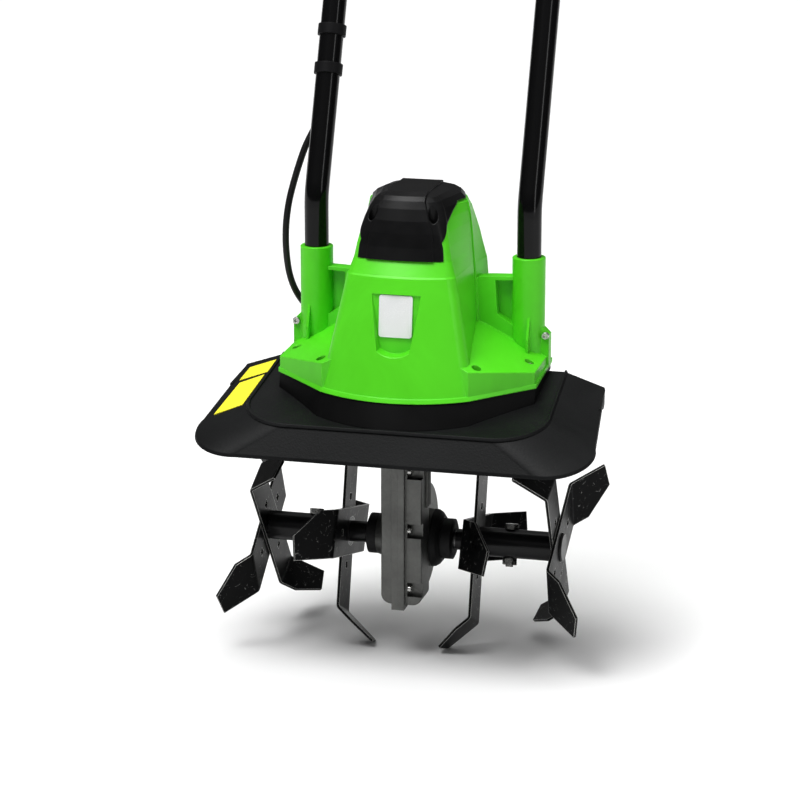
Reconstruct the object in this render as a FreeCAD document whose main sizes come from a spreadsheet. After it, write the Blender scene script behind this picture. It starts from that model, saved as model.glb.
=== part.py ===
import FreeCAD, Part
import math
import os
import Sketcher
from types import SimpleNamespace
from FreeCAD import Placement, Rotation, Vector

# Electric garden tiller. Millimetres, +Z up, the front faces -Y and the operator stands at +Y.
# The pieces are drawn in machine coordinates: X = 0 is the middle plane, Y = 0 is the plane of the
# two handle sockets and Z = 0 is the ground. Each piece's Placement then moves it into the final
# frame, whose origin lies on the ground under the middle of the whole machine.

SIZES = (
    # handle tubes and sockets
    ("tube_dia", 25.0, "outside diameter of the handle tubes"),
    ("tube_wall", 1.5, "wall of the handle tubes"),
    ("tube_half", 112.7, "half the distance between the lower tubes"),
    ("tube_foot", 306.0, "height of the lower end of the tubes, inside the sockets"),
    ("tube_bend", 464.0, "height where the tubes bend backwards"),
    ("tube_bend_radius", 60.0, "centre-line radius of that bend"),
    ("lean", 21.0, "lean of the handle from upright, in degrees"),
    ("pivot_reach", 250.0, "from the bend to the fold pivot, along the tube"),
    ("socket_dia", 34.0, "outside diameter of the sockets"),
    ("socket_top", 412.0, "height of the socket rims"),
    # guard deck and base ring
    ("deck_height", 268.1, "deck top, 100 in front of the sockets"),
    ("deck_slope", 0.219, "rise of the deck per unit towards the rear"),
    ("bead_half_rear", 151.0, "half width of the bead line at the rear edge"),
    ("bead_half_front", 158.0, "half width of the bead line at the front"),
    ("bead_front", 147.0, "distance of the bead line in front of the sockets"),
    ("bead_corner", 57.0, "corner radius of the bead line"),
    ("deck_rear", 6.0, "rear edge of the deck behind the sockets"),
    ("edge_height", 247.3, "outer edge of the guard, 100 in front of the sockets"),
    ("edge_slope", 0.285, "rise of that edge per unit towards the rear"),
    ("edge_half_rear", 192.0, "half width of the guard at the rear edge"),
    ("edge_half_front", 211.0, "half width of the guard at the front"),
    ("edge_front", 164.0, "distance of the outer edge in front of the sockets"),
    ("edge_corner", 66.0, "corner radius of the outer edge"),
    ("deck_wall", 3.0, "wall of the guard"),
    ("lip_drop", 3.0, "height of the lip along the outer edge"),
    ("seat_height", 286.0, "lower edge of the housing, 111 in front of the sockets"),
    ("seat_slope", 0.11, "rise of that edge per unit towards the rear"),
    # housing
    ("shell_wall", 3.0, "wall of the plastic shells"),
    ("seam_front", 12.0, "distance of the shell seam in front of the sockets"),
    ("cap_seat", 421.5, "height of the lower edge of the top cap"),
    ("wing_half", 134.0, "half width over the wings"),
    ("web_top", 391.0, "height of the webs between housing and sockets"),
    # drive line
    ("axle_height", 116.0, "height of the tine shaft"),
    ("axle_front", 38.0, "distance of the tine shaft in front of the sockets"),
    ("worm_spacing", 40.0, "centre distance of the worm and the worm wheel"),
    ("motor_spacing", 32.0, "centre distance of the pinion and the reduction gear"),
    ("shaft_dia", 20.0, "diameter of the tine shaft"),
    ("column_bottom", 59.0, "height of the bottom of the gear case"),
    ("column_top", 278.0, "height of the top flange of the gear case"),
    ("case_left", 19.0, "width of the left half of the gear case"),
    ("case_right", 24.0, "width of the right half of the gear case"),
    ("case_depth", 34.0, "depth of the column of the gear case"),
    ("case_flange", 6.5, "half width of the joint flange"),
    ("case_round", 57.0, "outside radius of the worm wheel housing"),
    ("case_round_half", 13.7, "half width of the worm wheel housing"),
    ("case_screw_pitch", 63.0, "spacing of the case screws along the column"),
    ("seal_end", 46.0, "outer face of the seal cups from the middle plane"),
    ("seal_radius", 21.0, "outside radius of the seal cups"),
    # tines
    ("inner_plate", 69.0, "middle of the inner tine sets from the middle plane"),
    ("outer_plate", 155.5, "middle of the outer tine sets from the middle plane"),
    ("sleeve_dia", 30.0, "outside diameter of the hub sleeves"),
    ("blade_thick", 3.0, "thickness of a tine blade"),
    ("inward_width", 41.0, "width of the blades that are bent inwards"),
    ("inward_bend", 83.0, "radius where they are bent"),
    ("outward_width", 50.0, "width of the blades that are bent outwards"),
    ("outward_bend", 63.0, "radius where they are bent"),
    ("blade_flag", 46.0, "length of the bent end of a blade"),
    ("flag_angle", 49.0, "bend of the blade ends, in degrees"),
    ("fold_skew", 12.5, "angle of the bend line off square, in degrees"),
    ("inner_turn", 14.0, "rest angle of the inner tine sets, in degrees"),
    ("bolt_station", 105.0, "hub bolts from the middle plane"),
    # upper handle
    ("upper_half", 84.0, "half the distance between the legs of the upper handle"),
    ("grip_half", 200.0, "half width of the upper handle at the grip"),
    ("grip_reach", 360.0, "from the fold pivot to the grip bar, along the handle"),
    ("grip_dia", 33.0, "outside diameter of the foam grip"),
    ("lead_dia", 7.0, "diameter of the motor lead"),
    # motor
    ("stator_dia", 72.0, "outside diameter of the stator"),
    ("armature_dia", 42.0, "outside diameter of the armature"),
    ("bearing_dia", 22.0, "outside diameter of the ball bearings"),
    ("bearing_bore", 8.0, "bore of the ball bearings"),
    ("bearing_width", 7.0, "width of the ball bearings"),
    # place of the final frame
    ("frame_y", -35.01, "shift of the machine along Y into the final frame"),
    ("frame_z", 1.96, "shift of the machine along Z into the final frame"),
)

DOC = FreeCAD.newDocument("Tiller")
SHEET = DOC.addObject("Spreadsheet::Sheet", "Sizes")
PIECES = []
SIDES = (("left", -1), ("right", 1))
BIG = 600.0


class Size(float):
    """A number that remembers the sheet formula that it comes from."""

    def __new__(cls, value, text):
        number = float.__new__(cls, value)
        number.text = text
        return number

    def __add__(self, other):
        return Size(float(self) + float(other), "(%s + %s)" % (self.text, text_of(other)))

    def __radd__(self, other):
        return Size(float(other) + float(self), "(%s + %s)" % (text_of(other), self.text))

    def __sub__(self, other):
        return Size(float(self) - float(other), "(%s - %s)" % (self.text, text_of(other)))

    def __rsub__(self, other):
        return Size(float(other) - float(self), "(%s - %s)" % (text_of(other), self.text))

    def __mul__(self, other):
        return Size(float(self) * float(other), "(%s * %s)" % (self.text, text_of(other)))

    def __rmul__(self, other):
        return Size(float(other) * float(self), "(%s * %s)" % (text_of(other), self.text))

    def __truediv__(self, other):
        return Size(float(self) / float(other), "(%s / %s)" % (self.text, text_of(other)))

    def __neg__(self):
        return Size(-float(self), "(-1 * %s)" % self.text)


def text_of(number):
    return number.text if isinstance(number, Size) else "(%.6f)" % float(number)


def fill_sheet():
    """Write the driving dimensions and return them as numbers with their formulas."""
    sizes = {}
    for row, (alias, value, meaning) in enumerate(SIZES, start=1):
        SHEET.set("A%d" % row, meaning)
        SHEET.set("B%d" % row, str(value))
        SHEET.setAlias("B%d" % row, alias)
        sizes[alias] = Size(value, "Sizes." + alias)
    DOC.recompute()
    return SimpleNamespace(**sizes)


mm = fill_sheet()
AXLE = Vector(0, -mm.axle_front, mm.axle_height)
WORM_Y = -(mm.axle_front + mm.worm_spacing)
MOTOR_Y = WORM_Y + mm.motor_spacing
LEAN = math.radians(mm.lean)
PIVOT = Vector(0, mm.pivot_reach * math.sin(LEAN), mm.tube_bend + mm.pivot_reach * math.cos(LEAN))
ALONG_X = Rotation(Vector(0, 1, 0), 90)
ALONG_Y = Rotation(Vector(1, 0, 0), -90)
ALONG_Z = Rotation()
DIRECTIONS = {"x": ALONG_X, "y": ALONG_Y, "z": ALONG_Z}
# the handle's own directions: up along the tubes, and out of their plane to the front
HANDLE_TURN = Rotation(Vector(1, 0, 0), -mm.lean)


# ---------------------------------------------------------------- document helpers

def bind(item, prop, value):
    """Give a property its value, through the sheet when the value has a formula."""
    if isinstance(value, Size):
        item.setExpression(prop, value.text)
    else:
        item.setExpression(prop, "%.6f" % float(value))


def set_base(item, at, turn=None):
    item.Placement = Placement(Vector(*[float(c) for c in at]), turn or Rotation())
    for letter, value in zip("xyz", at):
        if isinstance(value, Size):
            item.setExpression("Placement.Base." + letter, value.text)


def publish(item, label):
    """Name a finished sub-part and move it into the final frame."""
    for letter in "xyz":
        item.setExpression("Placement.Base." + letter, None)
    shift = Placement(Vector(0, mm.frame_y, mm.frame_z), Rotation())
    item.Placement = shift.multiply(item.Placement)
    item.Label = label
    PIECES.append(item)
    return item


def cylinder(name, radius, length, at, along="z"):
    item = DOC.addObject("Part::Cylinder", name)
    bind(item, "Radius", radius)
    bind(item, "Height", length)
    set_base(item, at, DIRECTIONS[along])
    return item


def box(name, corner, sides):
    item = DOC.addObject("Part::Box", name)
    for prop, value in zip(("Length", "Width", "Height"), sides):
        bind(item, prop, value)
    set_base(item, corner)
    return item


def fuse(name, items):
    item = DOC.addObject("Part::MultiFuse", name)
    item.Shapes = items
    item.Refine = True
    return item


def cut(name, base, tools):
    item = DOC.addObject("Part::Cut", name)
    item.Base = base
    item.Tool = tools[0] if len(tools) == 1 else fuse(name + "_tools", tools)
    item.Refine = True
    return item


def group(name, items):
    item = DOC.addObject("Part::Compound", name)
    item.Links = items
    return item


def computed(name, shape):
    item = DOC.addObject("Part::Feature", name)
    item.Shape = shape
    return item


def new_body(name, at=(0, 0, 0), turn=None):
    body = DOC.addObject("PartDesign::Body", name)
    set_base(body, at, turn)
    return body


def origin_plane(body, role):
    return next(f for f in body.Origin.OriginFeatures if f.Role == role)


def new_sketch(body, name, plane="XY_Plane", lift=0.0):
    sketch = body.newObject("Sketcher::SketchObject", name)
    sketch.AttachmentSupport = [(origin_plane(body, plane), "")]
    sketch.MapMode = "FlatFace"
    sketch.AttachmentOffset = Placement(Vector(0, 0, float(lift)), Rotation())
    if isinstance(lift, Size):
        sketch.setExpression("AttachmentOffset.Base.z", lift.text)
    return sketch


def pin_point(sketch, geometry, point, where):
    """Hold one point of a sketch at its place, bound to the sheet."""
    for kind, axis, value in (("DistanceX", -2, where[0]), ("DistanceY", -1, where[1])):
        if abs(value) < 1e-9:
            sketch.addConstraint(Sketcher.Constraint("PointOnObject", geometry, point, axis))
            continue
        index = sketch.addConstraint(
            Sketcher.Constraint(kind, -1, 1, geometry, point, float(value)))
        if isinstance(value, Size):
            sketch.setExpression("Constraints[%d]" % index, value.text)


def draw_polygon(sketch, corners):
    first = sketch.GeometryCount
    count = len(corners)
    for i in range(count):
        start, end = corners[i], corners[(i + 1) % count]
        sketch.addGeometry(Part.LineSegment(Vector(float(start[0]), float(start[1]), 0),
                                            Vector(float(end[0]), float(end[1]), 0)), False)
    for i in range(count):
        following = first + (i + 1) % count
        sketch.addConstraint(Sketcher.Constraint("Coincident", first + i, 2, following, 1))
        pin_point(sketch, first + i, 1, corners[i])


def draw_circle(sketch, centre, radius):
    middle = Vector(float(centre[0]), float(centre[1]), 0)
    index = sketch.addGeometry(Part.Circle(middle, Vector(0, 0, 1), float(radius)), False)
    pin_point(sketch, index, 3, centre)
    size = sketch.addConstraint(Sketcher.Constraint("Radius", index, float(radius)))
    if isinstance(radius, Size):
        sketch.setExpression("Constraints[%d]" % size, radius.text)


def pad(body, sketch, length, reverse=False):
    feature = body.newObject("PartDesign::Pad", sketch.Name + "_pad")
    feature.Profile = sketch
    bind(feature, "Length", length)
    feature.Reversed = reverse
    DOC.recompute()
    return feature


def pocket(body, sketch, length, reverse=False):
    before = body.Shape.Volume
    feature = body.newObject("PartDesign::Pocket", sketch.Name + "_pocket")
    feature.Profile = sketch
    bind(feature, "Length", length)
    feature.Reversed = reverse
    DOC.recompute()
    if body.Shape.Volume > before - 0.5:
        raise RuntimeError("the pocket %s cuts nothing" % feature.Name)
    return feature


def fillet(body, radius, wanted, kind="PartDesign::Fillet"):
    """Round (or chamfer) the edges of the body for which wanted(edge) is true."""
    base = body.Tip
    names = ["Edge%d" % (i + 1) for i, edge in enumerate(base.Shape.Edges) if wanted(edge)]
    if not names:
        raise RuntimeError("no edge to round on " + body.Name)
    feature = body.newObject(kind, body.Name + "_edges")
    feature.Base = (base, names)
    bind(feature, "Radius" if kind.endswith("Fillet") else "Size", radius)
    DOC.recompute()
    return feature


def runs_along(axis):
    """A test for straight edges parallel to an axis of the body."""
    def wanted(edge):
        if edge.Curve.TypeId != "Part::GeomLine":
            return False
        return abs(edge.tangentAt(edge.FirstParameter).dot(axis)) > 0.999
    return wanted


def turned(name, profile, at=(0, 0, 0), turn=None):
    """A body of revolution: profile corners are (along, radius) and the axis is its X axis."""
    body = new_body(name, at, turn)
    sketch = new_sketch(body, name + "_profile")
    draw_polygon(sketch, profile)
    feature = body.newObject("PartDesign::Revolution", name + "_turned")
    feature.Profile = sketch
    feature.ReferenceAxis = (sketch, ["H_Axis"])
    feature.Angle = 360
    DOC.recompute()
    return body


def polar(body, feature, count, axis_role):
    pattern = body.newObject("PartDesign::PolarPattern", feature.Name + "_ring")
    pattern.Originals = [feature]
    pattern.Axis = (origin_plane(body, axis_role), [""])
    pattern.Angle = 360
    pattern.Occurrences = count
    body.Tip = pattern
    DOC.recompute()
    return pattern


# ---------------------------------------------------------------- shape helpers

def route(points, radii):
    """A path of straight runs joined by tangent arcs, one radius for each inner point."""
    edges = []
    start = points[0]
    for i, radius in enumerate(radii, start=1):
        corner = points[i]
        back = (points[i - 1] - corner).normalize()
        ahead = (points[i + 1] - corner).normalize()
        half_turn = (math.pi - back.getAngle(ahead)) / 2
        cut_back = radius * math.tan(half_turn)
        first = corner + back * cut_back
        last = corner + ahead * cut_back
        centre = corner + (back + ahead).normalize() * (radius / math.cos(half_turn))
        middle = centre + (corner - centre).normalize() * radius
        if (first - start).Length > 1e-6:
            edges.append(Part.LineSegment(start, first).toShape())
        edges.append(Part.Arc(first, middle, last).toShape())
        start = last
    edges.append(Part.LineSegment(start, points[-1]).toShape())
    return Part.Wire(edges)


def widest_radii(points):
    """The largest arcs that the runs of a lead allow."""
    radii = []
    for before, corner, after in zip(points, points[1:], points[2:]):
        back = before - corner
        ahead = after - corner
        half_turn = (math.pi - back.getAngle(ahead)) / 2
        radii.append(0.45 * min(back.Length, ahead.Length) / math.tan(half_turn))
    return radii


def swept_round(points, radii, diameter):
    """A round bar along a route; its volume is checked against its length."""
    path = route(points, radii)
    start = points[0]
    circle = Part.Circle(start, points[1] - points[0], diameter / 2)
    profile = Part.Wire([circle.toShape()])
    bar = path.makePipeShell([profile], True, True)
    expected = math.pi * diameter ** 2 / 4 * path.Length
    if abs(bar.Volume - expected) > 0.02 * expected:
        raise RuntimeError("a bar has the wrong volume")
    return bar


def prism(corners, plane, start, length):
    """A straight prism from plane corners, grown along the plane's normal from start."""
    lift = {"xy": lambda u, v: Vector(u, v, start), "xz": lambda u, v: Vector(u, start, v),
            "yz": lambda u, v: Vector(start, u, v)}[plane]
    normal = {"xy": Vector(0, 0, length), "xz": Vector(0, length, 0), "yz": Vector(length, 0, 0)}
    points = [lift(u, v) for u, v in corners]
    return outward(Part.Face(Part.makePolygon(points + points[:1])).extrude(normal[plane]))


def outward(solid):
    """The same solid with its faces looking outwards."""
    if solid.Volume < 0:
        solid.reverse()
    return solid


def mirrored(shape):
    return shape.mirror(Vector(0, 0, 0), Vector(1, 0, 0))


def both_sides(shape):
    return [shape, mirrored(shape)]


def sloped_block(height, slope, station, above):
    """Everything above or below a plane that rises towards the rear."""
    block = Part.makeBox(2 * BIG, 2 * BIG, BIG, Vector(-BIG, -BIG, 0 if above else -BIG))
    block.rotate(Vector(0, 0, 0), Vector(1, 0, 0), math.degrees(math.atan(slope)))
    block.translate(Vector(0, station, height))
    return block


def deck_level(y):
    return mm.deck_height + mm.deck_slope * (y + 100)


def edge_level(y):
    return mm.edge_height + mm.edge_slope * (y + 100)


def seat_level(y):
    return mm.seat_height + mm.seat_slope * (y + 111)



# ---------------------------------------------------------------- handle tubes and lead

def planar_tube(name, corners, radius, plane, at, turn=None):
    """A round tube along a flat path of straight runs and equal bends, made as a pipe."""
    body = new_body(name, at, turn)
    path = new_sketch(body, name + "_path", plane)
    points = [Vector(float(u), float(v), 0) for u, v in corners]
    for edge in route(points, [float(radius)] * (len(points) - 2)).Edges:
        curve = edge.Curve
        if curve.TypeId == "Part::GeomLine":
            ends = [v.Point for v in edge.Vertexes]
            path.addGeometry(Part.LineSegment(ends[0], ends[-1]), False)
        else:
            middle = edge.valueAt((edge.FirstParameter + edge.LastParameter) / 2)
            ends = [edge.valueAt(edge.FirstParameter), edge.valueAt(edge.LastParameter)]
            path.addGeometry(Part.Arc(ends[0], middle, ends[1]), False)
    ring = new_sketch(body, name + "_ring", "XY_Plane", corners[0][1])
    centre = (corners[0][0], 0.0) if plane == "XZ_Plane" else (0.0, corners[0][0])
    draw_circle(ring, centre, mm.tube_dia / 2)
    draw_circle(ring, centre, mm.tube_dia / 2 - mm.tube_wall)
    feature = body.newObject("PartDesign::AdditivePipe", name + "_pipe")
    feature.Profile = ring
    feature.Spine = path
    DOC.recompute()
    return body


def make_lower_tubes():
    """Two bent tubes from the sockets up to the fold pivots, drilled for the pivot bolts."""
    over = mm.pivot_reach + 18
    end = (over * math.sin(LEAN), mm.tube_bend + over * math.cos(LEAN))
    for side, sign in SIDES:
        tube = planar_tube("lower_tube_" + side, [(0.0, mm.tube_foot), (0.0, mm.tube_bend), end],
                           mm.tube_bend_radius, "YZ_Plane", (sign * mm.tube_half, 0, 0))
        hole = new_sketch(tube, "pivot_hole_" + side, "YZ_Plane", -mm.tube_dia)
        draw_circle(hole, (PIVOT.y, PIVOT.z), 4.1)
        pocket(tube, hole, mm.tube_dia * 2, True)
        publish(tube, "lower_tube_" + side)


def on_handle(x, along, out=0.0):
    """A point on the upper handle: along it from the pivot, and out of its plane."""
    return PIVOT + HANDLE_TURN.multVec(Vector(x, -out, along))


def make_upper_handle():
    """A loop that is narrow at the pivots and wide at the grip bar."""
    narrow, wide, reach = mm.upper_half, mm.grip_half, mm.grip_reach
    corners = [(-narrow, -18.0), (-narrow, 62.0), (-wide, 245.0), (-wide, reach),
               (wide, reach), (wide, 245.0), (narrow, 62.0), (narrow, -18.0)]
    handle = planar_tube("upper_handle", corners, 48.0, "XZ_Plane", PIVOT, HANDLE_TURN)
    hole = new_sketch(handle, "handle_pivot_hole", "YZ_Plane", -BIG / 2)
    draw_circle(hole, (0.0, 0.0), 4.1)
    pocket(handle, hole, BIG, True)
    publish(handle, "upper_handle")


def make_grip():
    half = 118.0
    grip = turned("grip", [(-half, mm.tube_dia / 2), (half, mm.tube_dia / 2),
                           (half, mm.grip_dia / 2), (-half, mm.grip_dia / 2)],
                  on_handle(0, mm.grip_reach))
    round_end = runs_at_end(half, mm.grip_dia / 2)
    fillet(grip, 3.0, round_end)
    publish(grip, "foam_grip")


def runs_at_end(station, radius):
    """A test for the circles of a turned body at plus or minus a station."""
    def wanted(edge):
        curve = edge.Curve
        if curve.TypeId != "Part::GeomCircle" or abs(curve.Radius - radius) > 1e-3:
            return False
        return abs(abs(curve.Center.x) - abs(station)) < 1e-3
    return wanted


# the motor lead, as points of the two stretches that meet beside the fold pivot
LOWER_LEAD = (("handle", -104.0, -0.3, -31.0), ("handle", -107.0, -22.0, -29.5),
              ("handle", -112.7, -50.0, -17.5), ("handle", -112.7, -150.0, -17.5),
              ("handle", -133.0, -188.0, -17.5),
              ("machine", -143.0, 30.0, 482.0), ("machine", -150.5, 19.0, 445.0),
              ("machine", -151.5, 14.0, 405.0), ("machine", -147.0, 20.0, 362.0),
              ("machine", -131.0, 40.0, 329.0), ("machine", -106.0, 56.0, 313.0),
              ("machine", -84.0, 48.0, 311.0), ("machine", -60.0, 32.0, 311.0))
UPPER_LEAD = (("handle", -104.0, 0.3, -31.0), ("handle", -101.0, 22.0, -29.5),
              ("handle", -93.0, 52.0, -17.5), ("handle", -93.0, 80.0, -17.5),
              ("handle", -120.0, 117.0, -17.5),
              ("handle", -146.0, 160.0, -17.5), ("handle", -167.0, 198.0, -17.0),
              ("handle", -177.0, 233.0, -13.0), ("handle", -178.0, 262.0, -6.0))


def lead_points(stations):
    points = []
    for frame, first, second, third in stations:
        if frame == "handle":
            points.append(on_handle(first, second, third))
        else:
            points.append(Vector(first, second, third))
    return points


def make_lead(name, stations):
    points = lead_points(stations)
    radii = widest_radii(points)
    print(name, "radii", [round(r) for r in radii], "runs",
          [round((b - a).Length) for a, b in zip(points, points[1:])],
          "length", round(route(points, radii).Length, 1))
    publish(computed(name, swept_round(points, radii, float(mm.lead_dia))), name)


def make_clips(name, stations, slant=0.0):
    """Plastic clips: a band round the tube and a smaller band round the lead behind it."""
    clips = []
    tube_out = mm.tube_dia / 2
    lead_out = mm.lead_dia / 2
    for x, along, lead_gap in stations:
        outer = Part.makeCylinder(tube_out + 2.2, 11, Vector(0, 0, -5.5))
        outer = outer.fuse(Part.makeCylinder(lead_out + 2.0, 11, Vector(0, lead_gap, -5.5)))
        neck = Part.makeBox(6.0, lead_gap, 11, Vector(-3.0, 0, -5.5))
        bore = Part.makeCylinder(tube_out, 12, Vector(0, 0, -6))
        bore = bore.fuse(Part.makeCylinder(lead_out + 0.4, 12, Vector(0, lead_gap, -6)))
        mouth = Part.makeBox(2.4, 12, 12, Vector(-1.2, lead_gap, -6))
        clip = outer.fuse(neck).cut(bore).cut(mouth)
        leg_turn = HANDLE_TURN.multiply(Rotation(Vector(0, 1, 0), slant))
        clip.Placement = Placement(on_handle(x, along), leg_turn)
        clips.append(clip)
    publish(computed(name, Part.makeCompound(clips)), name)


def make_pivots():
    """Bolts, saddles between the tubes, and star knobs outside."""
    bolts = []
    saddles = []
    gap = mm.tube_half - mm.upper_half - mm.tube_dia
    for side, sign in SIDES:
        inner = sign * (mm.upper_half - mm.tube_dia / 2)
        length = mm.tube_half + mm.tube_dia / 2 + 13.3 - (mm.upper_half - mm.tube_dia / 2)
        turn = ALONG_X if sign > 0 else ALONG_X.multiply(Rotation(Vector(0, 1, 0), 180))
        shank = Part.makeCylinder(4.0, length)
        head = prism([(6.5 / math.cos(math.radians(30)) * math.cos(math.radians(60 * k)),
                       6.5 / math.cos(math.radians(30)) * math.sin(math.radians(60 * k)))
                      for k in range(6)], "xy", -5.0, 5.0)
        washer = Part.makeCylinder(8.5, 1.5, Vector(0, 0, 0))
        washer_gap = Placement(Vector(inner, PIVOT.y, PIVOT.z) - turn.multVec(Vector(0, 0, 1.5)), turn)
        bolt = shank.fuse(head).fuse(washer)
        bolt.Placement = washer_gap
        bolts.append(bolt)
        # flat towards the folding handle, hollowed to fit round the lower tube
        block = Part.makeCylinder(15.0, gap + 4.5)
        block.Placement = Placement(Vector(sign * (mm.upper_half + mm.tube_dia / 2 + 0.3),
                                           PIVOT.y, PIVOT.z), turn)
        groove = Part.makeCylinder(mm.tube_dia / 2, 80, Vector(0, 0, -40))
        groove.Placement = Placement(Vector(sign * mm.tube_half, PIVOT.y, PIVOT.z), HANDLE_TURN)
        block = block.cut(groove)
        hole = Part.makeCylinder(4.0, 60, Vector(0, 0, -30))
        hole.Placement = Placement(Vector(sign * mm.tube_half, PIVOT.y, PIVOT.z), turn)
        saddles.append(block.cut(hole))
    publish(computed("pivot_bolts", Part.makeCompound(bolts)), "pivot_bolts")
    publish(computed("pivot_saddles", Part.makeCompound(saddles)), "pivot_saddles")


def make_knob(side, sign):
    """A five-lobed star knob with a hub that grips the bolt's end."""
    start = mm.tube_half + mm.tube_dia / 2 + 0.3
    turn = Rotation() if sign > 0 else Rotation(Vector(0, 0, 1), 180)
    knob = turned("knob_core_" + side, [(0.0, 4.05), (14.0, 4.05), (14.0, 0.0), (24.0, 0.0),
                                        (24.0, 13.0), (21.0, 16.0), (8.0, 16.0), (6.0, 9.5),
                                        (0.0, 9.5)],
                  (sign * start, PIVOT.y, PIVOT.z), turn)
    lobe_sketch = new_sketch(knob, "lobe_" + side, "YZ_Plane", 9.0)
    draw_circle(lobe_sketch, (0.0, 17.0), 7.0)
    lobe = pad(knob, lobe_sketch, 12.0)
    polar(knob, lobe, 5, "X_Axis")
    publish(knob, "star_knob_" + side)


# ---------------------------------------------------------------- guard deck and base ring

def deck_outline(half_rear, rear, half_front, front, corner, level, drop=0.0):
    """A rounded trapezium on a sloping plane, closed by the straight rear edge."""
    side = Vector(half_front, -front, 0) - Vector(half_rear, rear, 0)
    angle = math.atan2(-side.y, side.x)
    cut_back = corner * math.tan(angle / 2)
    along = Vector(side).normalize()
    first = Vector(half_front, -front, 0) - along * cut_back
    last = Vector(half_front - cut_back, -front, 0)
    centre = last + Vector(0, corner, 0)
    middle = centre + (Vector(half_front, -front, 0) - centre).normalize() * corner

    def lifted(point, sign=1):
        return Vector(sign * point.x, point.y, level(point.y) - drop)

    start = Vector(half_rear, rear, 0)
    edges = [Part.LineSegment(lifted(start), lifted(first)),
             Part.Arc(lifted(first), lifted(middle), lifted(last)),
             Part.LineSegment(lifted(last), lifted(last, -1)),
             Part.Arc(lifted(last, -1), lifted(middle, -1), lifted(first, -1)),
             Part.LineSegment(lifted(first, -1), lifted(start, -1)),
             Part.LineSegment(lifted(start, -1), lifted(start))]
    return Part.Wire([edge.toShape() for edge in edges])


def bead_line(grow=0.0, drop=0.0, longer=0.0):
    return deck_outline(mm.bead_half_rear + grow, mm.deck_rear + longer, mm.bead_half_front + grow,
                        mm.bead_front + grow, mm.bead_corner + grow, deck_level, drop)


def edge_line(grow=0.0, drop=0.0, longer=0.0):
    return deck_outline(mm.edge_half_rear + grow, mm.deck_rear + longer, mm.edge_half_front + grow,
                        mm.edge_front + grow, mm.edge_corner + grow, edge_level, drop)


def loft(wires, ruled=True):
    return outward(Part.makeLoft(wires, True, ruled))


def make_deck():
    """A flat plate inside a raised bead, a skirt that falls outwards, and a short lip."""
    wall = float(mm.deck_wall)
    skirt = loft([bead_line(), edge_line()])
    lip = loft([edge_line(), edge_line(1.0, mm.lip_drop)])
    hollow = loft([bead_line(-1.0, wall, 20), edge_line(-wall, 0.8, 20)])
    lip_hollow = loft([edge_line(-wall, 0.8, 20), edge_line(-wall + 1.0, mm.lip_drop + 2, 20)])
    deck = skirt.fuse(lip).cut(hollow.fuse(lip_hollow))
    crest = loft([bead_line(2.6, 0.6), bead_line(1.2, -2.0)])
    crest = crest.cut(loft([bead_line(-2.6, 2.0, 20), bead_line(-0.9, -2.4, 20)]))
    deck = deck.fuse(crest)
    # deeper ears at the rear ends of the side lips
    ear_length = 44.0
    ear_deep = 17.0
    rear = mm.deck_rear
    low = edge_level(rear)
    points = [Vector(0, rear, low - 1), Vector(0, rear, low - ear_deep),
              Vector(0, rear - 12, low - ear_deep - 2), Vector(0, rear - 32, low - ear_deep + 2),
              Vector(0, rear - ear_length, edge_level(rear - ear_length) - mm.lip_drop + 1)]
    curve = Part.BSplineCurve()
    curve.interpolate(points[1:])
    closing = [Part.LineSegment(points[0], points[1]).toShape(), curve.toShape(),
               Part.LineSegment(points[-1], points[-1] + Vector(0, 0, 4)).toShape(),
               Part.LineSegment(points[-1] + Vector(0, 0, 4), points[0]).toShape()]
    ear = Part.Face(Part.Wire(closing)).extrude(Vector(wall - 0.4, 0, 0))
    spread = math.degrees(math.atan2(mm.edge_half_front - mm.edge_half_rear,
                                     mm.edge_front + mm.deck_rear))
    ear.translate(Vector(mm.edge_half_rear - wall + 0.9, 0, 0))
    ear = ear.common(Part.makeBox(BIG, BIG, BIG, Vector(0, -BIG / 2, 0)))
    ear.rotate(Vector(mm.edge_half_rear, rear, 0), Vector(0, 0, 1), spread)
    deck = deck.fuse(both_sides(ear))
    # the opening under the housing and two stiffening ribs behind it
    opening = Part.makeBox(84, 96, 120, Vector(-42, -116, 200))
    deck = deck.cut(opening)
    ribs = []
    for x in (-96.0, 96.0):
        rib = Part.makeBox(2.5, mm.bead_front - 24, 60, Vector(x, -mm.bead_front + 12, 210))
        rib = rib.common(sloped_block(mm.deck_height - wall + 0.5, mm.deck_slope, -100, False))
        rib = rib.common(sloped_block(mm.deck_height - wall - 9, mm.deck_slope, -100, True))
        ribs.append(rib)
    deck = deck.fuse(ribs)
    holes = [Part.makeCylinder(2.6, 120, Vector(x, y, 200)) for x, y in seat_screw_spots()]
    deck = deck.cut(Part.makeCompound(holes))
    deck = deck.removeSplitter()
    publish(computed("guard_deck", deck), "guard_deck")
    return deck


def seat_screw_spots():
    return [(sign * x, y) for sign in (-1, 1) for x, y in ((81.0, -97.0), (123.0, -41.0))]


def seat_outline(front, corner, wing_front, wing_half, rear, height):
    """The plan of the housing's foot: a bowed front, diagonal wings and a straight rear."""
    def at(x, y):
        return Vector(x, y, height)
    right = [at(corner[0], corner[1]), at(wing_half, wing_front), at(wing_half, rear)]
    left = [at(-p.x, p.y) for p in reversed(right)]
    edges = [Part.Arc(left[-1], at(0, front), right[0]).toShape()]
    loop = right + left
    edges += [Part.LineSegment(a, b).toShape() for a, b in zip(loop, loop[1:])]
    return Part.Wire(edges)


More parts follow.
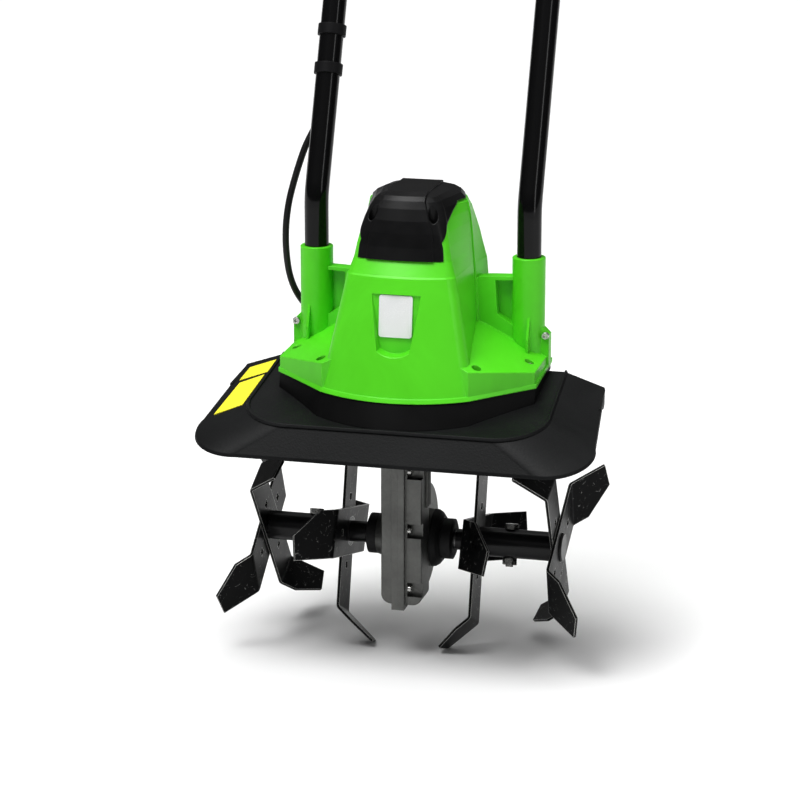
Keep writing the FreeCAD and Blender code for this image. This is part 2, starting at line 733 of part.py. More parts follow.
def seat_prism(grow, low=252.0, high=312.0):
    """The flared prism that the base ring and the housing's foot are cut from."""
    upper = seat_outline(-(117.0 + grow), (74.0 + grow * 0.6, -(98.0 + grow)),
                         -(61.0 + grow * 0.6), mm.wing_half + grow - 0.4, 12.0 + grow, high)
    lower = seat_outline(-(147.0 + grow), (80.5 + grow * 0.6, -(128.5 + grow)),
                         -(71.0 + grow * 0.6), mm.wing_half + grow + 1.2, 12.0 + grow, low)
    return loft([upper, lower])


def make_base_ring():
    """A wedge between the sloping deck and the housing, with a shelf for the motor plate."""
    above_deck = sloped_block(mm.deck_height, mm.deck_slope, -100, True)
    below_seat = sloped_block(mm.seat_height, mm.seat_slope, -111, False)
    outer = seat_prism(0.0)
    ring = outer.cut(seat_prism(-4.0, 250.0, 314.0))
    shelf = outer.common(Part.makeBox(BIG, BIG, 5, Vector(-BIG / 2, -BIG / 2, 273.0)))
    shelf = shelf.cut(Part.makeBox(70, 76, 20, Vector(-35, -104, 266)))
    ring = ring.fuse(shelf)
    posts = [Part.makeCylinder(6, 80, Vector(x, y, 240)) for x, y in seat_screw_spots()]
    # each post is tied to the side wall by a rib
    posts += [Part.makeBox(20, 5, 80, Vector(x - 10 + math.copysign(10, x), y - 2.5, 240))
              for x, y in seat_screw_spots()]
    ring = ring.fuse([post.common(outer) for post in posts])
    # inside the deck's opening the shelf may hang below the plane of the deck
    hanging = Part.makeBox(83.4, 95.4, 16, Vector(-41.7, -115.7, 268))
    ring = ring.common(above_deck.fuse(hanging)).common(below_seat)
    holes = [Part.makeCylinder(2.6, 120, Vector(x, y, 230)) for x, y in seat_screw_spots()]
    publish(computed("base_ring", largest(ring.cut(Part.makeCompound(holes)))), "base_ring")


# ---------------------------------------------------------------- motor housing and cap

# Plan of the tower at each level, half of it: height, front middle, front corner, cheek corner,
# seam corner, rear corner and rear middle. Distances are from the sockets' plane.
TOWER = (
    (266.0, -134.5, (75.9, -117.2), (84.0, -101.0), (65.5, -12.0), (75.0, 22.0), 34.0),
    (405.0, -103.5, (49.0, -95.0), (56.0, -80.0), (58.0, -12.0), (63.0, 20.0), 30.0),
    (406.5, -101.8, (48.2, -93.6), (55.3, -79.2), (57.8, -12.0), (62.5, 20.0), 30.0),
    (421.0, -92.8, (43.2, -87.6), (50.6, -76.8), (56.5, -12.0), (58.5, 20.0), 29.0),
    (434.5, -91.2, (40.0, -86.2), (48.2, -73.8), (55.6, -12.0), (55.2, 19.4), 27.8),
    (448.0, -88.4, (36.0, -83.9), (45.0, -70.0), (54.3, -12.0), (51.0, 18.5), 26.0),
    (460.0, -84.4, (31.8, -80.4), (41.6, -65.2), (52.6, -12.0), (47.0, 17.4), 24.0),
    (470.5, -79.0, (27.0, -75.6), (37.8, -60.0), (50.5, -12.0), (42.6, 15.6), 21.6),
    (477.5, -74.6, (23.4, -71.4), (33.8, -56.8), (43.0, -12.0), (37.0, 12.0), 17.2),
    (481.5, -70.6, (20.4, -67.6), (29.6, -53.6), (34.6, -12.0), (31.0, 8.0), 12.0),
)
TOP_DOME = (484.5, -62.0, (14.0, -59.0), (21.0, -47.0), (25.0, -14.0), (21.0, 2.0), 4.0)


def tower_wire(level, inset, lift=0.0):
    """One plan outline of the tower, drawn inwards by the inset."""
    height, front, (ax, ay), (bx, by), (cx, cy), (dx, dy), back = level
    height += lift

    def at(x, y):
        return Vector(x, y, height)

    a = at(ax - inset * 0.7, ay + inset * 0.9)
    b = at(bx - inset, by + inset * 0.5)
    c = at(cx - inset, cy)
    d = at(dx - inset, dy - inset * 0.7)
    bulge = (b - a).cross(Vector(0, 0, 1)).normalize() * (0.16 * (b - a).Length)
    middle = (a + b) * 0.5 + bulge
    right = [a, middle, b, c, d]
    left = [at(-p.x, p.y) for p in right]
    front_point = at(0, front + inset)
    back_point = at(0, back - inset)
    edges = [Part.Arc(left[0], front_point, right[0]).toShape(),
             Part.Arc(right[0], right[1], right[2]).toShape(),
             Part.LineSegment(right[2], right[3]).toShape(),
             Part.LineSegment(right[3], right[4]).toShape(),
             Part.Arc(right[4], back_point, left[4]).toShape(),
             Part.LineSegment(left[4], left[3]).toShape(),
             Part.LineSegment(left[3], left[2]).toShape(),
             Part.Arc(left[2], left[1], left[0]).toShape()]
    return Part.Wire(edges)


def top_share(height):
    """How much of a drop of the top a level takes: none up to the cheeks, then more and more."""
    return min(1.0, max(0.0, (height - 460.0) / 20.0))


def tower(inset, top_drop=0.0, dome=True):
    """The tower as a stack of ruled lofts; the top levels come down by top_drop."""
    levels = list(TOWER) + ([TOP_DOME] if dome else [])
    stack = None
    for below, above in zip(levels, levels[1:]):
        low = tower_wire(below, inset, -top_drop * top_share(below[0]))
        high = tower_wire(above, inset, -top_drop * top_share(above[0]))
        piece = loft([low, high])
        stack = piece if stack is None else stack.fuse(piece)
    return stack


def cap_region(gap):
    """What belongs to the top cap: in front of, and above, a line that runs up the cheeks."""
    seat = mm.cap_seat - gap
    profile = [(-BIG, seat), (-88.0 + gap, seat), (-84.5 + gap, 440.0), (-71.0 + gap, 455.0 - gap),
               (-31.0, 472.5 - gap), (BIG, 476.0 - gap), (BIG, BIG + 200), (-BIG, BIG + 200)]
    return prism(profile, "yz", -BIG / 2, BIG)


# sections of the right terrace at three stations: x, front y, and the top at its front and rear
WING_STATIONS = ((50.0, -101.5, 326.0, 355.0), (76.0, -111.8, 315.0, 343.5),
                 (134.0, -65.5, 307.5, 311.0))


def make_wings():
    """Terraces on both sides of the foot: sloping tops that rise towards the webs."""
    def section(x, front, front_top, rear_top):
        points = [Vector(x, front, 268), Vector(x, 12, 268), Vector(x, 12, rear_top),
                  Vector(x, front, front_top)]
        return Part.makePolygon(points + points[:1])
    sections = [section(*station) for station in WING_STATIONS]
    wing = loft(sections[:2]).fuse(loft(sections[1:]))
    return both_sides(wing)


def make_sockets():
    """Sockets with their inner webs, front fins and outer clamp flanges."""
    half = float(mm.tube_half)
    socket = Part.makeCylinder(mm.socket_dia / 2, mm.socket_top - 290, Vector(half, 0, 290))
    rim = [e for e in socket.Edges if abs(e.CenterOfMass.z - mm.socket_top) < 1e-3]
    socket = socket.makeFillet(1.2, rim)
    web_top = float(mm.web_top)
    web = prism([(58, 300), (58, web_top - 1.5), (73, web_top), (99.5, web_top + 1), (114, 317),
                 (114, 300)], "xz", -9.0, 15.0)
    window = prism([(79.5, web_top - 4), (98.5, web_top - 3), (98.5, 341), (82.0, 352)],
                   "xz", -9.5, 11.5)
    fin = prism([(-24.5, 300), (-24.5, 330), (-15.0, 356), (-10, 356), (-10, 300)], "yz",
                half + 2.6, 2.6)
    flange = prism([(half, 300), (half, 341), (128, 341), (136, 333), (136, 292)], "xz", -8.0, 12.0)
    flange_hole = Part.makeCylinder(2.1, 40, Vector(132.6, -20, 332), Vector(0, 1, 0))
    bore = Part.makeCylinder(mm.tube_dia / 2 + 0.05, BIG, Vector(half, 0, mm.tube_foot))
    lug = socket.fuse([web.cut(window), fin, flange.cut(flange_hole)])
    return lug, bore


def make_vents():
    """Slots for the cooling air in the rear wall."""
    slots = []
    for level in range(6):
        for sign in (-1, 1):
            height = 338.0 + 9.0 * level
            slot = Part.makeBox(30, 40, 3.8, Vector(-15 + sign * 24, 12, height))
            slots.append(slot)
    return Part.makeCompound(slots)


FACE_SLOPE = 0.223
FLOOR_SLOPE = 0.09
RECESS_TOP = 389.0
RECESS_BACK = -103.6


def face_station(z, at_top, slope=FACE_SLOPE):
    """The Y of a plane that leans back by the slope, from its Y at the recess's top."""
    return at_top + slope * (z - RECESS_TOP)


def badge_recess():
    """A tapering recess in the front face with a bowed foot and a bevelled rim."""
    def wire(at_top, grow, slope=FACE_SLOPE):
        top = RECESS_TOP + grow * 0.3
        foot = 333.0 - grow
        corners = [(-26.0 - grow, top), (26.0 + grow, top), (17.0 + grow, foot), (0.0, foot - 5.0),
                   (-17.0 - grow, foot)]
        points = [Vector(x, face_station(z, at_top, slope), z) for x, z in corners]
        return Part.Wire([Part.LineSegment(points[0], points[1]).toShape(),
                          Part.LineSegment(points[1], points[2]).toShape(),
                          Part.Arc(points[2], points[3], points[4]).toShape(),
                          Part.LineSegment(points[4], points[0]).toShape()])
    return loft([wire(RECESS_BACK, -1.5, FLOOR_SLOPE), wire(-106.0, 0.0)]).fuse(
        loft([wire(-106.0, 0.0), wire(-118.0, 8.0)]))


def recess_floor():
    """The wall behind the recess."""
    corners = [(face_station(z, RECESS_BACK + step, FLOOR_SLOPE), z)
               for z, step in ((400, -8.0), (400, 3.0), (318, 3.0), (318, -14.0))]
    return prism(corners, "yz", -31.0, 62.0)


def hollow_wings(wings):
    """The space under the terraces, one wall inside their tops, sides and front."""
    wall = float(mm.shell_wall)
    inside_foot = seat_prism(-wall, 250.0, 314.0)
    clearing = Part.makeBox(2 * (mm.wing_half - wall), BIG, BIG,
                            Vector(-mm.wing_half + wall, 12 - wall - BIG, 0))
    hollows = []
    for wing in wings:
        space = wing.copy()
        space.translate(Vector(0, 0, -wall))
        low = inside_foot.common(sloped_block(312.0, 0.0, 0.0, False))
        deep = space.common(clearing).common(low.fuse(tower(wall, 3.0, False)))
        hollows.append(deep)
    return hollows


def motor_ribs(front):
    """Ribs that hold the stator between the shells."""
    stator = Part.makeCylinder(mm.stator_dia / 2, 120, Vector(0, MOTOR_Y, 300))
    ribs = []
    for sign in (-1, 1):
        start, length = (-104.0, 40.0) if front else (-22.0, 54.0)
        rib = Part.makeBox(3.0, length, 42.0, Vector(sign * 20 - 1.5, start, 336))
        ribs.append(rib.cut(stator).common(tower(1.0, 3.0, False)))
    return ribs


def make_housing():
    """Front and rear shells of the motor housing, parted at the seam."""
    seam = -float(mm.seam_front)
    foot = sloped_block(mm.seat_height, mm.seat_slope, -111, True)
    in_front = Part.makeBox(2 * BIG, BIG, 2 * BIG, Vector(-BIG, seam - BIG, -BIG))
    behind = Part.makeBox(2 * BIG, BIG, 2 * BIG, Vector(-BIG, seam, -BIG))
    wings = make_wings()
    lug, bore = make_sockets()
    rim = seat_prism(1.6, 250.0, 314.0)
    rim = rim.common(sloped_block(mm.seat_height + 4.2, mm.seat_slope, -111, False))
    inner = tower(float(mm.shell_wall), 3.0, False)
    hollow = [inner] + hollow_wings(wings)
    rim = rim.cut(seat_prism(-float(mm.shell_wall), 250.0, 314.0))
    cap_space = cap_region(0.3)
    spots = seat_screw_spots()
    heads = [Part.makeCylinder(4.8, 60, Vector(x, y, seat_level(y) + 13)) for x, y in spots]
    shanks = [Part.makeCylinder(2.6, 90, Vector(x, y, 262)) for x, y in spots]

    skin = tower(0.0, 3.0, False).fuse(wings)
    front = skin.cut(hollow[0]).cut(hollow[1]).cut(hollow[2]).fuse(rim)
    screw_posts = [Part.makeCylinder(6.5, 90, Vector(x, y, 268)).common(skin) for x, y in spots]
    front = front.fuse(screw_posts + [recess_floor().common(skin)])
    front = front.common(in_front).common(foot).fuse(motor_ribs(True))
    front = front.cut(badge_recess()).cut(cap_space)
    front = front.cut(heads + shanks + both_sides(lug))
    publish(computed("housing_front", largest(front)), "housing_front")

    # the rear shell stands 1 mm proud of the front one, which shows as the seam
    skin = tower(-1.0, 3.0, False).fuse(wings)
    rear = skin.cut(hollow[0]).cut(hollow[1]).cut(hollow[2]).fuse(rim)
    rear = rear.common(behind).fuse(both_sides(lug) + motor_ribs(False)).common(foot)
    rear = rear.cut(make_vents()).cut(cap_space).cut(both_sides(bore))
    publish(computed("housing_rear", largest(rear)), "housing_rear")


def largest(shape):
    """The main solid of a result, without slivers, its split faces joined."""
    main = max(shape.Solids, key=lambda solid: solid.Volume)
    lost = shape.Volume - main.Volume
    if lost > 0.01 * main.Volume:
        raise RuntimeError("a part falls apart")
    return main.removeSplitter()


def make_top_cap():
    """The black cap: a raised middle panel, bevelled corners and two deep screw wells."""
    shell = tower(-0.8, 0.0, True)
    inner = tower(mm.shell_wall - 0.8, 3.5, True)
    panel_cut = prism([(-37.0, 400), (37.0, 400), (32.0, 450), (22.0, 478), (20.0, 500),
                       (-20.0, 500), (-22.0, 478), (-32.0, 450)], "xz", -BIG / 2, BIG / 2 + 4)
    panel = tower(-2.6, -1.6, True).common(panel_cut)
    cap = shell.fuse(panel).common(cap_region(0.0)).cut(inner)
    wells = [Part.makeCylinder(7.4, 40, Vector(sign * 31.0, -76.5, 444)) for sign in (-1, 1)]
    cap = cap.fuse([well.common(shell).common(cap_region(0.0)) for well in wells])
    holes = [Part.makeCylinder(4.9, 60, Vector(sign * 31.0, -77.0, 447)) for sign in (-1, 1)]
    shanks = [Part.makeCylinder(2.1, 60, Vector(sign * 31.0, -77.0, 420)) for sign in (-1, 1)]
    cap = cap.cut(Part.makeCompound(holes)).cut(Part.makeCompound(shanks))
    publish(computed("top_cap", largest(cap)), "top_cap")


def make_badge():
    """A plain plate with rounded corners, seated in the front recess."""
    middle = 367.0
    lean = Rotation(Vector(1, 0, 0), -math.degrees(math.atan(FLOOR_SLOPE)))
    seat = face_station(middle, RECESS_BACK, FLOOR_SLOPE)
    plate = new_body("badge_plate", (0, seat, middle), lean)
    sketch = new_sketch(plate, "badge_outline", "XZ_Plane")
    draw_polygon(sketch, [(-17.3, -21.5), (17.3, -21.5), (17.3, 21.5), (-17.3, 21.5)])
    pad(plate, sketch, 2.0)
    fillet(plate, 3.0, runs_along(Vector(0, 1, 0)))
    publish(plate, "badge_plate")


# ---------------------------------------------------------------- screws

def screw_shape(length, shank, head_radius, head_height, drive):
    """A screw pointing down from its seat, with a hexagon socket in the head."""
    body = Part.makeCylinder(shank, length, Vector(0, 0, -length))
    head = Part.makeCylinder(head_radius, head_height)
    edge = [e for e in head.Edges if abs(e.CenterOfMass.z - head_height) < 1e-3
            and e.Curve.TypeId == "Part::GeomCircle"]
    head = head.makeFillet(min(0.6, head_height / 3), edge)
    corners = [(drive * math.cos(math.radians(60 * k)), drive * math.sin(math.radians(60 * k)))
               for k in range(6)]
    socket = prism(corners, "xy", head_height * 0.45, head_height)
    return body.fuse(head).cut(socket)


def screws_at(places, length, shank, head_radius, head_height):
    """Equal screws; each place is the seat point and the way the head looks."""
    screws = []
    for seat, out in places:
        screw = screw_shape(length, shank, head_radius, head_height, head_radius * 0.5)
        screw.Placement = Placement(Vector(*seat), Rotation(Vector(0, 0, 1), Vector(*out)))
        screws.append(screw)
    return screws


def make_screws():
    """One group for the screws of the housing and one for those of the gear case."""
    seats = [((x, y, seat_level(y) + 13), (0, 0, 1)) for x, y in seat_screw_spots()]
    clamps = [((sign * 132.6, -8.0, 332.0), (0, -1, 0)) for sign in (-1, 1)]
    tops = [((sign * 31.0, -77.0, 447.0), (0, 0, 1)) for sign in (-1, 1)]
    screws = screws_at(seats, 30.0, 2.5, 4.3, 3.2) + screws_at(clamps, 15.0, 2.0, 3.9, 3.2)
    screws += screws_at(tops, 16.0, 2.0, 4.2, 3.0)
    publish(computed("housing_screws", Part.makeCompound(screws)), "housing_screws")
    joint = [((POCKET_SEAT, CASE_FRONT + 3.8, z), (1, 0, 0)) for z in case_screw_levels()]
    joint += [((mm.case_flange, y, z), (1, 0, 0)) for y, z in rim_screw_spots()]
    flange = [((x, y, FLANGE_LOW), (0, 0, -1)) for x, y in flange_screw_spots()]
    screws = screws_at(joint, 15.0, 2.0, 3.6, 3.6) + screws_at(flange, 10.0, 2.5, 4.2, 3.6)
    publish(computed("gear_case_screws", Part.makeCompound(screws)), "gear_case_screws")


def make_labels(deck):
    """Two yellow stickers without text on the left flank of the skirt."""
    labels = []
    for first, last, inner, outer in ((-34.0, -6.0, 0.10, 0.80), (-106.0, -40.0, 0.12, 0.74)):
        def on_skirt(y, share, lift):
            spread = mm.bead_half_front - mm.bead_half_rear
            run = (mm.deck_rear - y) / (mm.deck_rear + mm.bead_front)
            inner_x = mm.bead_half_rear + spread * run
            outer_x = mm.edge_half_rear + (mm.edge_half_front - mm.edge_half_rear) * run
            x = inner_x + (outer_x - inner_x) * share
            z = deck_level(y) + (edge_level(y) - deck_level(y)) * share
            return Vector(-x, y, z + lift)
        spots = ((first, inner), (last, inner), (last, outer), (first, outer))
        corners = [on_skirt(y, share, -0.1) for y, share in spots]
        normal = (corners[2] - corners[0]).cross(corners[3] - corners[1]).normalize()
        if normal.z < 0:
            normal = normal * -1
        middle = sum(corners, Vector()) * 0.25
        flat = [c - normal * (c - middle).dot(normal) for c in corners]
        flat = [c - normal * 1.0 for c in flat]
        label = Part.Face(Part.makePolygon(flat + flat[:1])).extrude(normal * 1.7)
        labels.append(largest(outward(label).cut(deck)))
    publish(computed("guard_labels", Part.makeCompound(labels)), "guard_labels")


# ---------------------------------------------------------------- gear case

CASE_FRONT = WORM_Y - mm.case_depth / 2
POCKET_SEAT = 9.0
FLANGE_LOW = 272.0


def case_screw_levels():
    return [mm.column_bottom + 17 + mm.case_screw_pitch * k for k in range(3)]


def rim_screw_spots():
    """Lugs behind the wheel housing, as (y, z) round the tine shaft."""
    reach = mm.case_round + 4.5
    angles = [math.radians(degrees) for degrees in (62, 10, -42)]
    return [(AXLE.y + reach * math.cos(a), AXLE.z + reach * math.sin(a)) for a in angles]


def flange_screw_spots():
    return [(x, y) for x in (-29.0, 29.0) for y in (-97.0, -36.0)]


def round_x(radius, start, end, y=None, z=None):
    """A cylinder along X, on the tine shaft unless another axis is given."""
    middle = Vector(start, AXLE.y if y is None else y, AXLE.z if z is None else z)
    return Part.makeCylinder(radius, end - start, middle, Vector(1, 0, 0))


def case_blank():
    """Column, wheel housing, bearing bosses, joint flange, lugs and top flange in one."""
    left, right = float(mm.case_left), float(mm.case_right)
    low, high = float(mm.column_bottom), float(mm.column_top)
    depth = float(mm.case_depth)
    column = Part.makeBox(left + right, depth, high - low, Vector(-left, CASE_FRONT, low))
    rounded = [e for e in column.Edges if runs_along(Vector(0, 1, 0))(e)
               and e.CenterOfMass.z < low + 1]
    column = column.makeFillet(10.0, rounded)
    upright = [e for e in column.Edges if runs_along(Vector(0, 0, 1))(e)]
    column = column.makeFillet(2.0, upright)
    rim = float(mm.case_flange)
    flange = Part.makeBox(2 * rim, depth, high - low, Vector(-rim, CASE_FRONT - 4.5, low - 4.5))
    housing = round_x(mm.case_round, -mm.case_round_half, mm.case_round_half)
    ring = round_x(mm.case_round + 4.5, -rim, rim)
    lugs = [round_x(6.5, -rim, rim, y, z) for y, z in rim_screw_spots()]
    boss_right = round_x(30.0, 0, right)
    half = float(mm.case_round_half)
    boss_left = Part.makeCone(28.5, float(mm.seal_radius), 35.0 - half, Vector(-half, AXLE.y, AXLE.z),
                              Vector(-1, 0, 0))
    top = Part.makeBox(66, 72, high - FLANGE_LOW, Vector(-33, -102, FLANGE_LOW))
    gussets = [prism([(CASE_FRONT + depth, FLANGE_LOW), (CASE_FRONT + depth, 244.0),
                      (-34.0, FLANGE_LOW)], "yz", x, 4.0) for x in (-16.0, 12.0)]
    ribs = [Part.makeBox(2.0, 1.6, 108.0, Vector(right, WORM_Y + step, 160.0))
            for step in (1.0, 7.0, 13.0)]
    return column.fuse([flange, housing, ring, boss_right, boss_left, top] + lugs + gussets + ribs)


def make_gear_case():
    """Two halves with the cavities for the worm, its wheel and the bearings."""
    bearing = mm.bearing_dia / 2
    blank = case_blank()
    worm_space = Part.makeCylinder(bearing, 266.0 - 63.0, Vector(0, WORM_Y, 63.0))
    shaft_way = Part.makeCylinder(6.0, 30, Vector(0, WORM_Y, 260.0))
    wheel_space = round_x(37.0, -9.0, 9.0)
    bush_way = round_x(BUSH_RADIUS, -35.5, 24.5)
    pockets = []
    for level in case_screw_levels():
        pockets.append(Part.makeBox(20, 7.6, 15, Vector(POCKET_SEAT, CASE_FRONT - 0.01, level - 7.5)))
        pockets.append(round_x(2.0, -6.0, 30, CASE_FRONT + 3.8, level))
        pockets.append(round_x(3.0, -30, -13.0, CASE_FRONT + 5, level))
    for y, z in rim_screw_spots():
        pockets.append(round_x(2.0, -8.6, 10, y, z))
    for x, y in flange_screw_spots():
        pockets.append(Part.makeCylinder(2.5, 20, Vector(x, y, FLANGE_LOW - 5)))
    pockets.append(round_x(3.2, 9.5, 20, AXLE.y + 12, AXLE.z + 44))
    pockets.append(Part.makeBox(4, 12, 5, Vector(11.0, AXLE.y - 6, AXLE.z - 49)))
    blank = blank.cut([worm_space, shaft_way, wheel_space, bush_way] + pockets)
    for side, sign in SIDES:
        space = Part.makeBox(BIG, BIG, BIG, Vector(0 if sign > 0 else -BIG, -BIG / 2, 0))
        publish(computed("gear_case_" + side, largest(blank.common(space))), "gear_case_" + side)


BUSH_RADIUS = 14.0


def make_axle_supports():
    """Plain bushes, the domed cover on the right, and the seal cups at both ends."""
    shaft = mm.shaft_dia / 2
    bushes = []
    for start, end in ((-33.0, -15.0), (10.0, 24.0)):
        bush = round_x(BUSH_RADIUS, start, end).cut(round_x(shaft + 0.05, start - 1, end + 1))
        bushes.append(bush)
    publish(computed("axle_bushes", Part.makeCompound(bushes)), "axle_bushes")
    right = float(mm.case_right)
    cover = turned("cover", [(right, shaft + 0.3), (34.0, shaft + 0.3), (34.0, mm.seal_radius + 2),
                             (right + 6.5, 27.5), (right + 3.0, 29.6), (right, 30.0)], AXLE)
    publish(cover, "bearing_cover_right")
    for side, sign in SIDES:
        inner_end = 34.0 if sign > 0 else 35.0
        turn = Rotation() if sign > 0 else Rotation(Vector(0, 0, 1), 180)
        cup = turned("seal_cup_" + side,
                     [(inner_end, shaft + 0.3), (mm.seal_end, shaft + 0.3), (mm.seal_end, 17.0),
                      (mm.seal_end - 1.5, mm.seal_radius), (inner_end, mm.seal_radius)], AXLE, turn)
        publish(cup, "seal_cup_" + side)


# ---------------------------------------------------------------- gears

PRESSURE = math.radians(20)


def gear_corners(teeth, module, play, tip_share=1.0):
    """Outline of a gear with involute flanks; the middle of a gap lies at angle zero."""
    pitch = module * teeth / 2
    base = pitch * math.cos(PRESSURE)
    root = pitch - 1.25 * module
    tip = pitch + tip_share * module
    levels = [root] + [r for r in (base, (base + pitch) / 2, pitch, (pitch + tip) / 2, tip)
                       if r > root + 0.05]

    def half_tooth(level):
        lean = math.acos(min(1.0, base / level))
        unrolled = (math.tan(PRESSURE) - PRESSURE) - (math.tan(lean) - lean)
        return math.pi / (2 * teeth) - play / (2 * pitch) + unrolled

    corners = []
    for tooth in range(teeth):
        middle = 2 * math.pi * (tooth + 0.5) / teeth
        for level in levels:
            corners.append((level, middle - half_tooth(level)))
        for level in reversed(levels):
            corners.append((level, middle + half_tooth(level)))
    return [(r * math.cos(a), r * math.sin(a)) for r, a in corners]


def rotated_corners(corners, degrees):
    turn = math.radians(degrees)
    return [(u * math.cos(turn) - v * math.sin(turn), u * math.sin(turn) + v * math.cos(turn))
            for u, v in corners]


def spur_gear(teeth, module, play, low, high, degrees, tip_share=1.0):
    """A straight gear round the Z axis."""
    corners = rotated_corners(gear_corners(teeth, module, play, tip_share), degrees)
    return prism(corners, "xy", low, high - low)


WHEEL_TEETH = 32
WORM_STARTS = 2
WORM_MODULE = 2.0
GEAR_TEETH = 50
PINION_TEETH = 14


def worm_lead():
    return math.pi * WORM_MODULE * WORM_STARTS


def make_worm_wheel():
    """The bronze wheel: slanted teeth that follow the thread of the worm, a hub and a keyway."""
    half = 6.0
    slant = math.degrees(half * worm_lead() / (math.pi * 16.0) / 32.0)
    corners = gear_corners(WHEEL_TEETH, WORM_MODULE, 0.35)

    def wire(x, degrees):
        turned_corners = rotated_corners(corners, 180 + degrees)
        points = [Vector(x, AXLE.y + u, AXLE.z + v) for u, v in turned_corners]
        return Part.makePolygon(points + points[:1])

    wheel = loft([wire(-half, -slant), wire(half, slant)])
    relief = [round_x(26.0, sign * half - 2.0, sign * half + 2.0).cut(round_x(17.0, -20, 20))
              for sign in (-1, 1)]
    hub = round_x(16.0, -8.4, 8.4)
    wheel = wheel.cut(relief).fuse(hub).cut(round_x(mm.shaft_dia / 2, -20, 20)).cut(key_shape())
    publish(computed("worm_wheel", wheel.removeSplitter()), "worm_wheel")


def key_shape():
    return Part.makeBox(15.0, 5.0, 5.0, Vector(-7.5, AXLE.y - 2.5, AXLE.z + 7.5))


def make_worm_shaft():
    """The upright shaft with a two-start worm in front of the wheel."""
    radius = 8.0
    half_length = 16.0
    low = AXLE.z - half_length
    journal = float(mm.bearing_bore) / 2
    core = Part.makeCylinder(radius - 2.4, 2 * half_length, Vector(0, WORM_Y, low))
    threads = []
    for start in range(WORM_STARTS):
        phase = 90 + 360 * start / WORM_STARTS
        threads.append(worm_thread(radius, low, 2 * half_length, phase))
    worm = core.fuse(threads)
    bearing_low = 63.0 + mm.bearing_width
    below = Part.makeCylinder(journal, bearing_low - 63.3, Vector(0, WORM_Y, 63.3))
    between = Part.makeCylinder(5.0, low - bearing_low, Vector(0, WORM_Y, bearing_low))
    above = Part.makeCylinder(5.0, 255.0 - (low + 2 * half_length),
                              Vector(0, WORM_Y, low + 2 * half_length))
    top = Part.makeCylinder(journal, 294.0 - 255.0, Vector(0, WORM_Y, 255.0))
    publish(computed("worm_shaft", worm.fuse([below, between, above, top])), "worm_shaft")


def worm_thread(radius, low, length, phase):
    """One start of the worm; its crest passes the wheel's side at the height of the tine shaft."""
    lead = worm_lead()
    tip = radius + 0.95 * WORM_MODULE
    root = radius - 2.7
    thick = math.pi * WORM_MODULE / 4 - 0.17
    slope = math.tan(PRESSURE)
    steps_per_turn = 16
    count = int(round(length / lead * steps_per_turn))
    crest = AXLE.z
    wires = []
    for k in range(count + 1):
        z = low + length * k / count
        angle = math.radians(phase) + 2 * math.pi * (z - crest) / lead
        out = Vector(math.cos(angle), math.sin(angle), 0)
        centre = Vector(0, WORM_Y, z)
        section = []
        for level, half in ((root, thick + slope * 2.7), (tip, thick - slope * 0.95 * WORM_MODULE)):
            section.append((level, half))
        points = [centre + out * section[0][0] + Vector(0, 0, -section[0][1]),
                  centre + out * section[1][0] + Vector(0, 0, -section[1][1]),
                  centre + out * section[1][0] + Vector(0, 0, section[1][1]),
                  centre + out * section[0][0] + Vector(0, 0, section[0][1])]
        wires.append(Part.makePolygon(points + points[:1]))
    return loft(wires, False)


def make_reduction_gear():
    gear = spur_gear(GEAR_TEETH, 1.0, 0.14, 284.0, 292.0, 90.0 + 180.0 / GEAR_TEETH, 0.85)
    gear = gear.cut(Part.makeCylinder(mm.bearing_bore / 2, 20, Vector(0, 0, 280)))
    for k in range(6):
        a = math.radians(60 * k + 30)
        gear = gear.cut(Part.makeCylinder(3.6, 20, Vector(14 * math.cos(a), 14 * math.sin(a), 280)))
    gear.translate(Vector(0, WORM_Y, 0))
    publish(computed("reduction_gear", gear), "reduction_gear")


# ---------------------------------------------------------------- motor

def bearing_shape(low, y):
    """A ball bearing drawn as two rings with a shield between them."""
    outer, bore, width = mm.bearing_dia / 2, mm.bearing_bore / 2 + 0.02, float(mm.bearing_width)
    base = Vector(0, y, low)
    ring = Part.makeCylinder(outer, width, base).cut(Part.makeCylinder(outer - 2.2, width, base))
    shield = Part.makeCylinder(outer - 2.2, width - 1.2, base + Vector(0, 0, 0.6))
    inner = Part.makeCylinder(bore + 2.2, width, base)
    return ring.fuse([shield, inner]).cut(Part.makeCylinder(bore, width, base))


def make_bearings():
    worm = [bearing_shape(63.0, WORM_Y), bearing_shape(258.0, WORM_Y)]
    publish(computed("worm_bearings", Part.makeCompound(worm)), "worm_bearings")
    motor = [bearing_shape(300.0, MOTOR_Y), bearing_shape(411.0, MOTOR_Y)]
    publish(computed("motor_bearings", Part.makeCompound(motor)), "motor_bearings")


